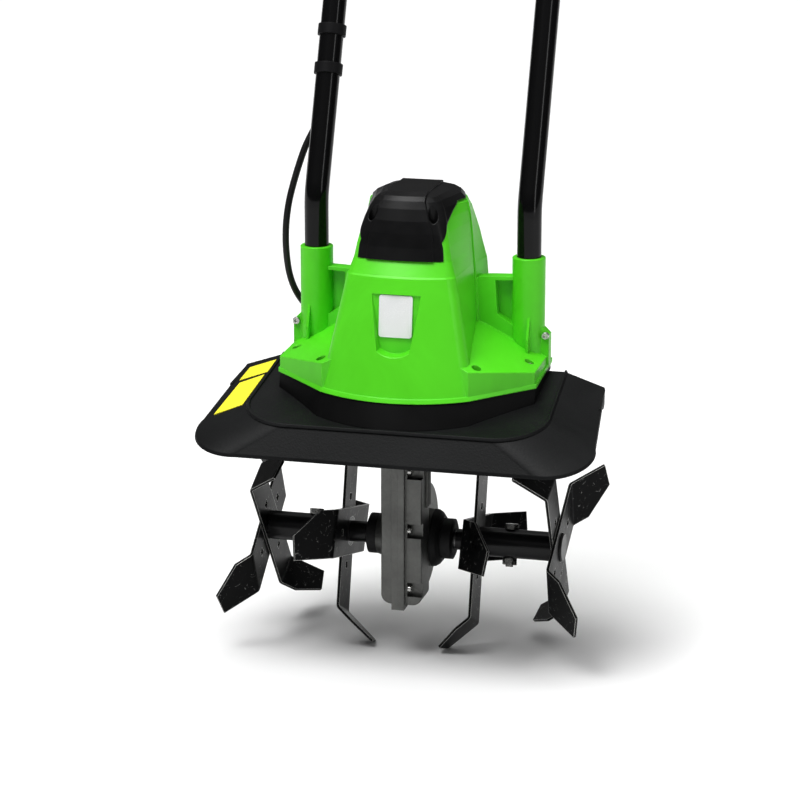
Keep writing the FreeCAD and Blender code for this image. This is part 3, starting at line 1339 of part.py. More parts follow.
def make_motor_plate():
    """The plate over the gear case, with a cup for the first gear stage and the lower bearing."""
    plate = box("plate_base", (-40.0, -112.0, mm.column_top), (80.0, 90.0, 5.0))
    shelf = mm.column_top + 5
    cup = cylinder("plate_cup", 30.5, 17.0, (0.0, WORM_Y, shelf))
    nose = cylinder("plate_nose", 14.0, 24.0, (0.0, MOTOR_Y, shelf))
    body = fuse("plate_body", [plate, cup, nose])
    space = cylinder("gear_space", 27.5, 12.8, (0.0, WORM_Y, shelf))
    way = cylinder("pinion_space", 9.6, 12.8, (0.0, MOTOR_Y, shelf))
    rotor_way = cylinder("rotor_way", 5.5, 40.0, (0.0, MOTOR_Y, shelf + 2))
    seat = cylinder("bearing_seat", mm.bearing_dia / 2, 20.0, (0.0, MOTOR_Y, 300.0))
    tools = [space, way, rotor_way, seat]
    tools.append(cylinder("worm_end", 6.0, 14.0, (0.0, WORM_Y, mm.column_top - 1)))
    for number, (x, y) in enumerate(flange_screw_spots()):
        tools.append(cylinder("flange_hole_%d" % number, 2.5, 20.0, (x, y, mm.column_top - 10)))
    publish(cut("motor_plate_made", body, tools), "motor_plate")


def ring_sector(inner, outer, low, high, middle, spread):
    """A part of a ring round the motor shaft."""
    base = Vector(0, 0, low)
    sector = Part.makeCylinder(outer, high - low, base, Vector(0, 0, 1), 2 * spread)
    sector.rotate(base, Vector(0, 0, 1), middle - spread)
    sector = sector.cut(Part.makeCylinder(inner, high - low, base))
    sector.translate(Vector(0, MOTOR_Y, 0))
    return sector


def make_stator():
    """Core with two poles and the two field coils that go through it."""
    outer = mm.stator_dia / 2
    coils = [ring_sector(24.5, 31.0, 326.0, 390.0, middle, 52.0) for middle in (90.0, 270.0)]
    core = Part.makeCylinder(outer, 54.0, Vector(0, MOTOR_Y, 330.0))
    core = core.cut(Part.makeCylinder(mm.armature_dia / 2 + 0.6, 54.0, Vector(0, MOTOR_Y, 330.0)))
    core = core.cut(coils)
    publish(computed("stator_core", core.removeSplitter()), "stator_core")
    publish(computed("field_coils", Part.makeCompound(coils)), "field_coils")


def make_armature():
    """Slotted stack on the rotor shaft, with the winding heads at both ends."""
    stack = new_body("stack", (0, MOTOR_Y, 332.0))
    disc = new_sketch(stack, "stack_disc")
    draw_circle(disc, (0.0, 0.0), mm.armature_dia / 2)
    draw_circle(disc, (0.0, 0.0), mm.bearing_bore / 2)
    pad(stack, disc, 50.0)
    slot = new_sketch(stack, "stack_slot", "XY_Plane", 50.0)
    draw_polygon(slot, [(13.0, -1.4), (22.0, -1.4), (22.0, 1.4), (13.0, 1.4)])
    slots = pocket(stack, slot, 50.0)
    polar(stack, slots, 12, "Z_Axis")
    publish(stack, "armature_stack")
    heads = [ring_sector(6.0, 17.5, low, high, 0.0, 180.0)
             for low, high in ((325.0, 331.8), (382.2, 388.0))]
    publish(computed("armature_windings", Part.makeCompound(heads)), "armature_windings")


def make_rotor_shaft():
    """Motor shaft with the pinion cut into its lower end."""
    journal = float(mm.bearing_bore) / 2
    pinion = spur_gear(PINION_TEETH, 1.0, 0.14, 283.8, 292.6, -90.0)
    rod = Part.makeCylinder(journal, 418.5 - 292.6, Vector(0, 0, 292.6))
    collar = Part.makeCylinder(6.0, 1.6, Vector(0, 0, 307.3))
    shaft = pinion.fuse([rod, collar])
    shaft.translate(Vector(0, MOTOR_Y, 0))
    publish(computed("rotor_shaft", shaft), "rotor_shaft")
    bars = turned("commutator", [(0.0, mm.bearing_bore / 2), (15.0, mm.bearing_bore / 2),
                                 (15.0, 12.0), (2.5, 12.0), (2.5, 13.5), (0.0, 13.5)],
                  (0.0, MOTOR_Y, 390.5), Rotation(Vector(0, 1, 0), -90))
    slit = new_sketch(bars, "bar_slit", "YZ_Plane", 15.0)
    draw_polygon(slit, [(10.6, -0.3), (14.0, -0.3), (14.0, 0.3), (10.6, 0.3)])
    slits = pocket(bars, slit, 15.0)
    polar(bars, slits, 12, "X_Axis")
    publish(bars, "commutator")


def make_fan():
    """Cooling fan under the armature: a disc with nine upright blades."""
    fan = new_body("fan", (0, MOTOR_Y, 312.0))
    disc = new_sketch(fan, "fan_disc")
    draw_circle(disc, (0.0, 0.0), 33.0)
    draw_circle(disc, (0.0, 0.0), mm.bearing_bore / 2)
    pad(fan, disc, 2.0)
    hub = new_sketch(fan, "fan_hub")
    draw_circle(hub, (0.0, 0.0), 9.0)
    draw_circle(hub, (0.0, 0.0), mm.bearing_bore / 2)
    pad(fan, hub, 11.0)
    blade = new_sketch(fan, "fan_blade", "XY_Plane", 1.0)
    draw_polygon(blade, [(13.0, 1.0), (32.0, 7.0), (32.0, 8.8), (12.4, 2.6)])
    blades = pad(fan, blade, 10.0)
    polar(fan, blades, 9, "Z_Axis")
    publish(fan, "cooling_fan")


def make_brush_gear():
    """Bridge over the commutator with the upper bearing, brush holders and carbon brushes."""
    bar = box("bridge_bar", (-36.0, MOTOR_Y - 9, 412.0), (72.0, 18.0, 5.0))
    boss = cylinder("bridge_boss", 14.0, 7.5, (0.0, MOTOR_Y, 411.0))
    posts = [box("bridge_post_%d" % k, (x, MOTOR_Y - 7, 384.0), (4.0, 14.0, 30.0))
             for k, x in enumerate((-35.0, 31.0))]
    seat = cylinder("bridge_seat", mm.bearing_dia / 2, 20.0, (0.0, MOTOR_Y, 405.0))
    bridge = cut("bridge_made", fuse("bridge_body", [bar, boss] + posts), [seat])
    publish(bridge, "brush_bridge")
    holders = []
    brushes = []
    for number, sign in enumerate((-1, 1)):
        inner, outer = 13.2, 30.0
        low = inner if sign > 0 else -outer
        case = Part.makeBox(outer - inner, 10.0, 15.0, Vector(low, MOTOR_Y - 5, 396.0))
        way = Part.makeBox(outer - inner - 2, 5.0, 8.0,
                           Vector(inner if sign > 0 else -outer + 2, MOTOR_Y - 2.5, 398.0))
        holders.append(case.cut(way))
        start = 12.4 if sign > 0 else -26.4
        brushes.append(Part.makeBox(14.0, 5.0, 8.0, Vector(start, MOTOR_Y - 2.5, 398.0)))
    publish(computed("brush_holders", Part.makeCompound(holders)), "brush_holders")
    publish(computed("carbon_brushes", Part.makeCompound(brushes)), "carbon_brushes")


# ---------------------------------------------------------------- tines

BOLT_LEAN = -15.0


# rest angle of the outward strip of the outer sets, turned forwards from straight down
OUTER_TURN = {"left": -53.0, "right": -62.0}
FOLD_RADIUS = 5.0
FOLD_STEPS = 5


def folded_end(width, bend, bend_side):
    """One half of a strip: its cross-sections out to the tip, and the tool that trims the tip.

    The strip runs up the Z axis. Its end is folded about a skewed line by a rounded bend.
    """
    skew = math.radians(mm.fold_skew)
    full = math.radians(mm.flag_angle)
    line = Vector(0, math.cos(skew), -math.sin(skew))
    ahead = Vector(0, math.sin(skew), math.cos(skew))
    side = Vector(bend_side, 0, 0)
    half_line = width / 2 / math.cos(skew)
    fold = Vector(0, 0, bend)
    half_thick = mm.blade_thick / 2

    def section(out, rise, flat, angle):
        """The rectangle at a distance along the strip, measured square to the fold."""
        middle = fold + ahead * out + side * rise - line * (flat * math.tan(skew))
        normal = side * math.cos(angle) - ahead * math.sin(angle)
        low, high = middle - line * half_line, middle + line * half_line
        lift = normal * half_thick
        return [low - lift, high - lift, high + lift, low + lift]

    tangent = FOLD_RADIUS * math.tan(full / 2)
    sections = []
    for step in range(FOLD_STEPS + 1):
        angle = full * step / FOLD_STEPS
        out = -tangent + FOLD_RADIUS * math.sin(angle)
        rise = FOLD_RADIUS * (1 - math.cos(angle))
        flat = tangent * (2 * step / FOLD_STEPS - 1)
        sections.append(section(out, rise, flat, angle))
    reach = float(mm.blade_flag)
    sections.append(section(reach * math.cos(full), reach * math.sin(full), reach, full))

    flag = ahead * math.cos(full) + side * math.sin(full)
    normal = side * math.cos(full) - ahead * math.sin(full)
    long_side, short_side = 0.9 * reach, 0.42 * reach
    outline = [(-half_line - long_side * math.tan(skew), long_side), (16.0 - half_line, reach),
               (half_line - short_side * math.tan(skew), short_side),
               (half_line + 30.0, short_side), (half_line + 30.0, 2 * reach),
               (-half_line - 40.0, 2 * reach), (-half_line - 40.0, long_side)]
    corners = [fold + line * u + flag * v - normal * 12.0 for u, v in outline]
    trim = outward(Part.Face(Part.makePolygon(corners + corners[:1])).extrude(normal * 24.0))
    return sections, trim


def make_strip(name, x, degrees, bend_side, width, bend):
    """A flat strip across the shaft whose two ends are bent to the same side."""
    sections, trim = folded_end(width, bend, bend_side)
    opposite = Rotation(Vector(1, 0, 0), 180)
    lower = [[opposite.multVec(p) for p in section] for section in reversed(sections)]
    # turned by half a turn, each rectangle starts from its other edge
    lower = [[section[1], section[0], section[3], section[2]] for section in lower]
    wires = [Part.makePolygon(section + section[:1]) for section in lower + sections]
    other_trim = trim.copy()
    other_trim.rotate(Vector(), Vector(1, 0, 0), 180)
    middle = Part.makeCylinder(mm.sleeve_dia / 2, 20.0, Vector(-10, 0, 0), Vector(1, 0, 0))
    squares = [Part.makeBox(20.0, 7.0, 7.0, Vector(-10.0, -3.5, sign * 36.0 - 3.5))
               for sign in (-1, 1)]
    strip = loft(wires).cut([trim, other_trim, middle] + squares)
    strip.Placement = Placement(Vector(x, AXLE.y, AXLE.z), Rotation(Vector(1, 0, 0), degrees))
    return computed(name, strip)


def make_tines():
    """Four sets of two crossing strips: one bent inwards and one bent outwards."""
    half = mm.blade_thick / 2
    for side, sign in SIDES:
        sets = (("inner", sign * mm.inner_plate, 90.0 - mm.inner_turn, 1),
                ("outer", sign * mm.outer_plate, OUTER_TURN[side], -1))
        for place, x, turn, step in sets:
            strips = [make_strip(place + "_outward_" + side, x - step * sign * half, turn, sign,
                                 float(mm.outward_width), float(mm.outward_bend)),
                      make_strip(place + "_inward_" + side, x + step * sign * half, turn + 90,
                                 -sign, float(mm.inward_width), float(mm.inward_bend))]
            publish(fuse(place + "_set_" + side, strips), "tine_" + place + "_" + side)


def make_tine_shaft():
    """The driven shaft, the sleeves that carry the tines, and the bolts through both."""
    half = 150.0
    lean = Rotation(Vector(1, 0, 0), BOLT_LEAN)
    shaft_shape = round_x(mm.shaft_dia / 2, -half, half).cut(key_shape())
    bolts = []
    for side, sign in SIDES:
        turn = lean if sign > 0 else lean.multiply(Rotation(Vector(0, 0, 1), 180))
        radius = mm.sleeve_dia / 2
        sleeve = turned("sleeve_" + side,
                        [(48.0, mm.shaft_dia / 2), (152.0, mm.shaft_dia / 2), (152.0, 0.0),
                         (161.0, 0.0), (161.0, radius - 1.5), (159.5, radius), (66.0, radius),
                         (66.0, 10.9), (48.0, 10.9)], AXLE, turn)
        hole = new_sketch(sleeve, "bolt_hole_" + side, "XY_Plane", -30.0)
        draw_circle(hole, (mm.bolt_station, 0.0), 4.0)
        pocket(sleeve, hole, 60.0, True)
        publish(sleeve, "hub_sleeve_" + side)
        middle = Placement(Vector(sign * mm.bolt_station, AXLE.y, AXLE.z), lean)
        shank = Part.makeCylinder(4.0, 44.0, Vector(0, 0, -24.0))
        corners = [(7.5 * math.cos(math.radians(60 * k)), 7.5 * math.sin(math.radians(60 * k)))
                   for k in range(6)]
        head = prism(corners, "xy", radius, 5.5)
        nut = prism(corners, "xy", -radius - 7.0, 7.0)
        bolt = shank.fuse([head, nut])
        bolt.Placement = middle
        bolts.append(bolt)
        way = Part.makeCylinder(4.0, 60.0, Vector(0, 0, -30.0))
        way.Placement = middle
        shaft_shape = shaft_shape.cut(way)
    publish(computed("hub_bolts", Part.makeCompound(bolts)), "hub_bolts")
    publish(computed("tine_shaft", shaft_shape), "tine_shaft")
    publish(computed("wheel_key", key_shape()), "wheel_key")


# ---------------------------------------------------------------- switch gear on the handle

BAIL_ALONG = 285.0
BAIL_OUT = 14.0
BAIL_RELEASED = 30.4
BAIL_ARM = 75.0
ROD_RADIUS = 4.0


def handle_block(x0, x1, along0, along1, out0, out1, rounding=0.0):
    """A block lined up with the upper handle, its long edges rounded."""
    block = Part.makeBox(x1 - x0, out1 - out0, along1 - along0, Vector(x0, -out1, along0))
    if rounding:
        block = block.makeFillet(rounding, block.Edges)
    return block


def on_leg(shape):
    shape.Placement = Placement(PIVOT, HANDLE_TURN).multiply(shape.Placement)
    return shape


def make_switch_box():
    """Two shells clamped round the left leg, the inlet with its pins, switch and lock button."""
    leg = swept_round([Vector(-mm.upper_half, 0, 62), Vector(-mm.grip_half, 0, 245),
                       Vector(-mm.grip_half, 0, mm.grip_reach), Vector(0, 0, mm.grip_reach)],
                      [48.0, 48.0], mm.tube_dia + 0.02)
    whole = handle_block(-218.0, -156.0, 262.0, 345.0, -21.0, 23.0, 5.0)
    space = handle_block(-185.0, -159.0, 266.0, 341.0, -18.0, 20.0, 2.0)
    pin_way = Part.makeCylinder(ROD_RADIUS + 0.05, 20, Vector(-173.0, -BAIL_OUT, BAIL_ALONG),
                                Vector(1, 0, 0))
    pin_boss = Part.makeCylinder(7.0, 14, Vector(-173.0, -BAIL_OUT, BAIL_ALONG), Vector(1, 0, 0))
    pin_stop = Part.makeCylinder(7.0, 2, Vector(-175.0, -BAIL_OUT, BAIL_ALONG), Vector(1, 0, 0))
    lead_way = Part.makeCylinder(mm.lead_dia / 2 + 0.3, 20, Vector(-178.0, 6.0, 252.0))
    button_way = Part.makeCylinder(6.05, 20, Vector(-164.0, 0.5, 322.0), Vector(1, 0, 0))
    shroud = handle_block(-184.0, -160.0, 246.0, 268.0, 4.5, 20.5, 2.0)
    socket = handle_block(-181.5, -162.5, 240.0, 264.0, 7.0, 18.0)
    front = handle_block(-BIG, BIG, -BIG, BIG, 0.0, BIG)
    rear = handle_block(-BIG, BIG, -BIG, BIG, -BIG, 0.0)
    shell = whole.cut(space).fuse([pin_boss, pin_stop]).common(whole)
    shell = shell.fuse(shroud.cut(whole.common(space))).cut([socket, leg, pin_way, lead_way,
                                                             button_way])
    publish(computed("switch_base", on_leg(largest(shell.common(rear)))), "switch_base")
    publish(computed("switch_cover", on_leg(largest(shell.common(front)))), "switch_cover")
    plug_back = handle_block(-181.5, -162.5, 258.0, 264.0, 7.0, 18.0)
    pins = [handle_block(x - 2.4, x + 2.4, 249.0, 262.0, 11.7, 13.3) for x in (-176.5, -167.5)]
    publish(computed("inlet_pins", on_leg(plug_back.fuse(pins))), "inlet_pins")
    switch = handle_block(-184.0, -168.0, 300.0, 322.0, 1.0, 13.0)
    lever = handle_block(-167.9, -167.3, 296.0, 320.0, 4.0, 10.0)
    foot = handle_block(-184.0, -168.0, 300.0, 322.0, 0.2, 1.0)
    publish(computed("micro_switch", on_leg(switch.fuse([lever.fuse(foot), handle_block(
        -168.2, -167.5, 318.0, 320.0, 4.0, 10.0)]))), "micro_switch")
    cap = Part.makeCylinder(6.0, 15.0, Vector(-163.5, 0.5, 322.0), Vector(1, 0, 0))
    rim = [e for e in cap.Edges if abs(e.CenterOfMass.x + 148.5) < 1e-3]
    publish(computed("lock_button", on_leg(cap.makeFillet(1.5, rim))), "lock_button")


def make_bail():
    """The sprung lever in front of the grip, and its bracket on the right leg."""
    half = 146.0
    turn = Rotation(Vector(1, 0, 0), BAIL_RELEASED)
    points = [Vector(-172.5, 0, 0), Vector(-half, 0, 0), Vector(-half, 0, BAIL_ARM),
              Vector(half, 0, BAIL_ARM), Vector(half, 0, 0), Vector(172.5, 0, 0)]
    rod = swept_round(points, [9.0] * 4, 2 * ROD_RADIUS)
    rod.Placement = Placement(Vector(0, -BAIL_OUT, BAIL_ALONG), turn)
    publish(computed("bail_lever", on_leg(rod)), "bail_lever")
    leg = Part.makeCylinder(mm.tube_dia / 2, 200, Vector(mm.grip_half, 0, 200))
    block = handle_block(159.0, 218.0, 272.0, 298.0, -17.0, 22.0, 4.0)
    hole = Part.makeCylinder(ROD_RADIUS + 0.05, 15, Vector(158.0, -BAIL_OUT, BAIL_ALONG),
                             Vector(1, 0, 0))
    slit = handle_block(205.0, 220.0, 270.0, 300.0, -1.0, 1.0)
    publish(computed("bail_bracket", on_leg(block.cut([leg, hole, slit]))), "bail_bracket")


# ---------------------------------------------------------------- build, check and write

def build_all():
    make_lower_tubes()
    make_upper_handle()
    make_grip()
    make_lead("motor_lead_lower", LOWER_LEAD)
    make_lead("motor_lead_upper", UPPER_LEAD)
    make_clips("lead_clips_lower", [(-mm.tube_half, -76.0, 17.5), (-mm.tube_half, -117.0, 17.5)])
    make_clips("lead_clips_upper", [(-132.5, 138.5, 17.5)], -32.4)
    make_pivots()
    for side, sign in SIDES:
        make_knob(side, sign)
    deck = make_deck()
    make_base_ring()
    make_housing()
    make_top_cap()
    make_badge()
    make_labels(deck)
    make_screws()
    make_gear_case()
    make_axle_supports()
    make_worm_wheel()
    make_worm_shaft()
    make_reduction_gear()
    make_bearings()
    make_motor_plate()
    make_stator()
    make_armature()
    make_rotor_shaft()
    make_fan()
    make_brush_gear()
    make_tines()
    make_tine_shaft()
    make_switch_box()
    make_bail()


def check_all():
    """Stop when any object is in error or any piece has no sound shape."""
    DOC.recompute()
    bad = [item.Name for item in DOC.Objects if "Invalid" in item.State or "Error" in item.State]
    bad += [item.Label for item in PIECES if item.Shape.isNull() or not item.Shape.isValid()]
    if bad:
        raise RuntimeError("not sound: " + ", ".join(bad))


def write_all():
    os.makedirs("parts", exist_ok=True)
    whole = FreeCAD.BoundBox()
    for item in PIECES:
        item.Shape.exportStep("parts/%s.step" % item.Label)
        whole.add(item.Shape.BoundBox)
    print(len(PIECES), "pieces; box", whole)


build_all()
check_all()
write_all()
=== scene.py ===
import math
import bpy
from mathutils import Matrix, Vector


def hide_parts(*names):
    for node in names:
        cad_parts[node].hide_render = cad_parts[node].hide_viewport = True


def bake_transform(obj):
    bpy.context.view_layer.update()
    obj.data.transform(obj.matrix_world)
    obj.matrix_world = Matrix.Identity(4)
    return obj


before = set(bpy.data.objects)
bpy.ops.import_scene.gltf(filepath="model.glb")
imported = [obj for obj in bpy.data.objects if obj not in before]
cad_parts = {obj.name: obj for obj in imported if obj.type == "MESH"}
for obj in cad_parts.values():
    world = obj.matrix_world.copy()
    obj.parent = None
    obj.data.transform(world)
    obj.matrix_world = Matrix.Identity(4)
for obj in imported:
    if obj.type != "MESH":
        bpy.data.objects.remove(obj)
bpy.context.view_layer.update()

# place of the machine's sockets and ground in the frame, in metres
FRAME_Y = -0.03501
FRAME_Z = 0.00196


# ---------------------------------------------------------------- materials

class Nodes:
    """A short way to write a node material: every method returns a socket."""

    def __init__(self, name):
        self.material = bpy.data.materials.new(name)
        self.material.use_nodes = True
        self.tree = self.material.node_tree
        self.shader = self.tree.nodes["Principled BSDF"]
        self.place = self.add("ShaderNodeTexCoord").outputs["Object"]

    def add(self, kind, **values):
        node = self.tree.nodes.new(kind)
        for key, value in values.items():
            setattr(node, key, value)
        return node

    def feed(self, socket, value):
        if isinstance(value, bpy.types.NodeSocket):
            self.tree.links.new(value, socket)
        else:
            socket.default_value = value

    def noise(self, scale, detail=3.0, rough=0.55, warp=0.0, stretch=None):
        node = self.add("ShaderNodeTexNoise")
        self.feed(node.inputs["Vector"], self.scaled(stretch) if stretch else self.place)
        node.inputs["Scale"].default_value = scale
        node.inputs["Detail"].default_value = detail
        node.inputs["Roughness"].default_value = rough
        node.inputs["Distortion"].default_value = warp
        return node.outputs["Fac"]

    def cells(self, scale, feature="F1", randomness=1.0):
        node = self.add("ShaderNodeTexVoronoi", feature=feature)
        self.feed(node.inputs["Vector"], self.place)
        node.inputs["Scale"].default_value = scale
        node.inputs["Randomness"].default_value = randomness
        return node.outputs["Distance"]

    def scaled(self, factors):
        node = self.add("ShaderNodeMapping")
        self.feed(node.inputs["Vector"], self.place)
        node.inputs["Scale"].default_value = factors
        return node.outputs["Vector"]

    def ramp(self, value, low, high, from_value=0.0, to_value=1.0):
        node = self.add("ShaderNodeMapRange", clamp=True)
        self.feed(node.inputs["Value"], value)
        node.inputs["From Min"].default_value = low
        node.inputs["From Max"].default_value = high
        node.inputs["To Min"].default_value = from_value
        node.inputs["To Max"].default_value = to_value
        return node.outputs["Result"]

    def math(self, operation, first, second=0.5):
        node = self.add("ShaderNodeMath", operation=operation)
        self.feed(node.inputs[0], first)
        self.feed(node.inputs[1], second)
        return node.outputs[0]

    def mix(self, share, first, second):
        node = self.add("ShaderNodeMix", data_type="RGBA")
        self.feed(node.inputs["Factor"], share)
        self.feed(node.inputs["A"], first)
        self.feed(node.inputs["B"], second)
        return node.outputs["Result"]

    def edge(self, radius=0.0012):
        """How near a point is to a sharp convex edge, from bevelled against plain normals."""
        bevel = self.add("ShaderNodeBevel", samples=6)
        bevel.inputs["Radius"].default_value = radius
        geometry = self.add("ShaderNodeNewGeometry")
        dot = self.add("ShaderNodeVectorMath", operation="DOT_PRODUCT")
        self.feed(dot.inputs[0], bevel.outputs["Normal"])
        self.feed(dot.inputs[1], geometry.outputs["Normal"])
        return self.ramp(dot.outputs["Value"], 0.995, 0.8, 0.0, 1.0)

    def bump(self, height, strength=0.2, depth=0.0004, bevel=0.0):
        node = self.add("ShaderNodeBump")
        self.feed(node.inputs["Height"], height)
        node.inputs["Strength"].default_value = strength
        node.inputs["Distance"].default_value = depth
        if bevel:
            rounded = self.add("ShaderNodeBevel", samples=6)
            rounded.inputs["Radius"].default_value = bevel
            self.tree.links.new(rounded.outputs["Normal"], node.inputs["Normal"])
        self.tree.links.new(node.outputs["Normal"], self.shader.inputs["Normal"])

    def set(self, **values):
        names = {"color": "Base Color", "rough": "Roughness", "metal": "Metallic",
                 "coat": "Coat Weight", "coat_rough": "Coat Roughness",
                 "specular": "Specular IOR Level", "sheen": "Sheen Weight",
                 "sheen_rough": "Sheen Roughness", "ior": "IOR",
                 "anisotropic": "Anisotropic"}
        for key, value in values.items():
            self.feed(self.shader.inputs[names[key]], value)


def rgb(red, green, blue):
    return (red, green, blue, 1.0)


def moulded(name, color, rough, grain=900.0, grain_depth=0.00012, strength=0.25, spread=0.12,
            bevel=0.0009, specular=0.5, edge_highlight_share=0.25):
    """Injection-moulded plastic: fine spark texture, faint flow marks and paler edges that are a
    painted highlight.
    """
    n = Nodes(name)
    flow = n.noise(9.0, 4.0, 0.6, 0.8)
    fine = n.noise(grain, 2.0, 0.6)
    darker = rgb(*[c * (1 - spread) for c in color])
    lighter = rgb(*[min(1.0, c * (1 + spread) + 0.004) for c in color])
    base = n.mix(n.ramp(flow, 0.35, 0.7), darker, lighter)
    # paler colour at sharp convex edges: a painted highlight
    edge_highlight_color = rgb(*[min(1.0, c * 1.35 + 0.03) for c in color])
    n.set(color=n.mix(n.math("MULTIPLY", n.edge(), edge_highlight_share), base, edge_highlight_color), specular=specular)
    n.set(rough=n.ramp(n.math("ADD", n.math("MULTIPLY", flow, 0.6), n.math("MULTIPLY", fine, 0.4)),
                       0.25, 0.75, rough - 0.05, rough + 0.07))
    n.bump(fine, strength, grain_depth, bevel)
    return n.material


def painted(name, color, rough, coat=0.0):
    """Stoved paint on steel: slight orange peel, small scuffs, a hint of dust."""
    n = Nodes(name)
    peel = n.noise(260.0, 2.0, 0.5)
    scuff = n.ramp(n.noise(70.0, 6.0, 0.75, 1.5), 0.62, 0.72)
    base = n.mix(n.math("MULTIPLY", scuff, 0.35), rgb(*color), rgb(*[c * 2.0 + 0.01 for c in color]))
    n.set(color=base, rough=n.ramp(scuff, 0.0, 1.0, rough, rough + 0.16), coat=coat,
          coat_rough=0.08, specular=0.25)
    n.bump(peel, 0.12, 0.0001, 0.0006)
    return n.material


def metal(name, color, rough, brushed=None, spots=0.0, cast=False):
    """Bare metal: turned or brushed lines, or the skin of a casting."""
    n = Nodes(name)
    cloud = n.noise(30.0, 4.0, 0.6)
    if cast:
        skin = n.noise(420.0, 3.0, 0.7)
        depth, strength = 0.0003, 0.45
    else:
        skin = n.noise(300.0, 2.0, 0.5, 0.0, brushed or (1.0, 1.0, 12.0))
        depth, strength = 0.00005, 0.15
    dark = rgb(*[c * 0.78 for c in color])
    base = n.mix(n.ramp(cloud, 0.35, 0.7), dark, rgb(*color))
    if spots:
        stain = n.ramp(n.noise(160.0, 5.0, 0.7), 0.66, 0.74)
        base = n.mix(n.math("MULTIPLY", stain, spots), base, rgb(0.16, 0.13, 0.1))
    n.set(color=base, metal=1.0,
          rough=n.ramp(skin, 0.3, 0.7, rough - 0.06, rough + 0.08))
    n.bump(skin, strength, depth, 0.0005)
    return n.material


def worn_blade(name):
    """Dark painted steel whose edges are worn bright and whose faces carry fine scratches."""
    n = Nodes(name)
    scratch = n.ramp(n.noise(90.0, 6.0, 0.7, 2.5), 0.6, 0.66)
    cloud = n.noise(22.0, 4.0, 0.6)
    paint = n.mix(n.ramp(cloud, 0.35, 0.7), rgb(0.002, 0.0022, 0.0024), rgb(0.006, 0.0063, 0.0067))
    bare = n.math("MAXIMUM", n.edge(0.0014), n.math("MULTIPLY", scratch, 0.3))
    n.set(color=n.mix(bare, paint, rgb(0.62, 0.62, 0.6)), metal=n.ramp(bare, 0.1, 0.7, 0.0, 0.9),
          rough=n.ramp(cloud, 0.3, 0.7, 0.26, 0.36), specular=0.14)
    n.bump(scratch, 0.12, 0.0001, 0.0006)
    return n.material


def foam(name):
    n = Nodes(name)
    pores = n.cells(1500.0)
    n.set(color=n.mix(n.ramp(n.noise(40.0), 0.3, 0.7), rgb(0.012, 0.012, 0.013),
                      rgb(0.026, 0.026, 0.028)),
          rough=0.9, sheen=0.25, sheen_rough=0.5, specular=0.25)
    n.bump(pores, 0.5, 0.0004)
    return n.material


def rubber(name, rough=0.55):
    n = Nodes(name)
    fine = n.noise(700.0, 2.0)
    n.set(color=n.mix(n.ramp(n.noise(25.0), 0.3, 0.7), rgb(0.008, 0.008, 0.009),
                      rgb(0.018, 0.018, 0.019)), specular=0.4,
          rough=n.ramp(fine, 0.3, 0.7, rough - 0.06, rough + 0.08))
    n.bump(fine, 0.2, 0.0001)
    return n.material


GREEN = moulded("green_plastic", (0.12, 0.62, 0.024), 0.34, grain=1100.0, grain_depth=0.00006,
                strength=0.18, spread=0.06, bevel=0.0012, specular=0.4, edge_highlight_share=0.3)
CAP_BLACK = moulded("cap_black_plastic", (0.008, 0.008, 0.0085), 0.3, grain_depth=0.00006,
                    strength=0.2, spread=0.2, bevel=0.0012, specular=0.22)
RING_BLACK = moulded("ring_black_plastic", (0.004, 0.004, 0.0042), 0.42, specular=0.14)
CHARCOAL = moulded("charcoal_plastic", (0.008, 0.0085, 0.009), 0.48, grain=520.0,
                   grain_depth=0.0003, strength=0.5, spread=0.15, bevel=0.0012, specular=0.22)
CLIP = moulded("clip_plastic", (0.008, 0.008, 0.009), 0.5, specular=0.2)
RED = moulded("red_plastic", (0.45, 0.02, 0.015), 0.3)
BADGE = moulded("badge_white", (0.72, 0.73, 0.73), 0.25, grain=1200.0, grain_depth=0.00003,
                strength=0.1, spread=0.03)
YELLOW = moulded("label_yellow", (0.88, 0.8, 0.06), 0.35, grain=1200.0, grain_depth=0.00003,
                 strength=0.1, spread=0.05)
TUBE = painted("tube_paint", (0.004, 0.004, 0.0045), 0.16, 0.2)
TINE = worn_blade("tine_steel")
SLEEVE = painted("sleeve_paint", (0.012, 0.012, 0.013), 0.28, 0.2)
CASE = metal("cast_aluminium", (0.19, 0.192, 0.185), 0.48, spots=0.1, cast=True)
STEEL = metal("machined_steel", (0.5, 0.5, 0.5), 0.3, brushed=(1.0, 1.0, 14.0))
SHAFT = metal("shaft_steel", (0.45, 0.45, 0.45), 0.28, brushed=(14.0, 1.0, 1.0), spots=0.2)
ZINC = metal("zinc_plate", (0.62, 0.62, 0.6), 0.28, spots=0.12)
BRONZE = metal("bronze", (0.55, 0.36, 0.16), 0.32, brushed=(14.0, 1.0, 1.0))
COPPER = metal("copper_wire", (0.62, 0.28, 0.13), 0.35, brushed=(1.0, 1.0, 30.0))
FOAM = foam("foam_grip")
RUBBER = rubber("seal_rubber")
LEAD = rubber("lead_sheath", 0.42)

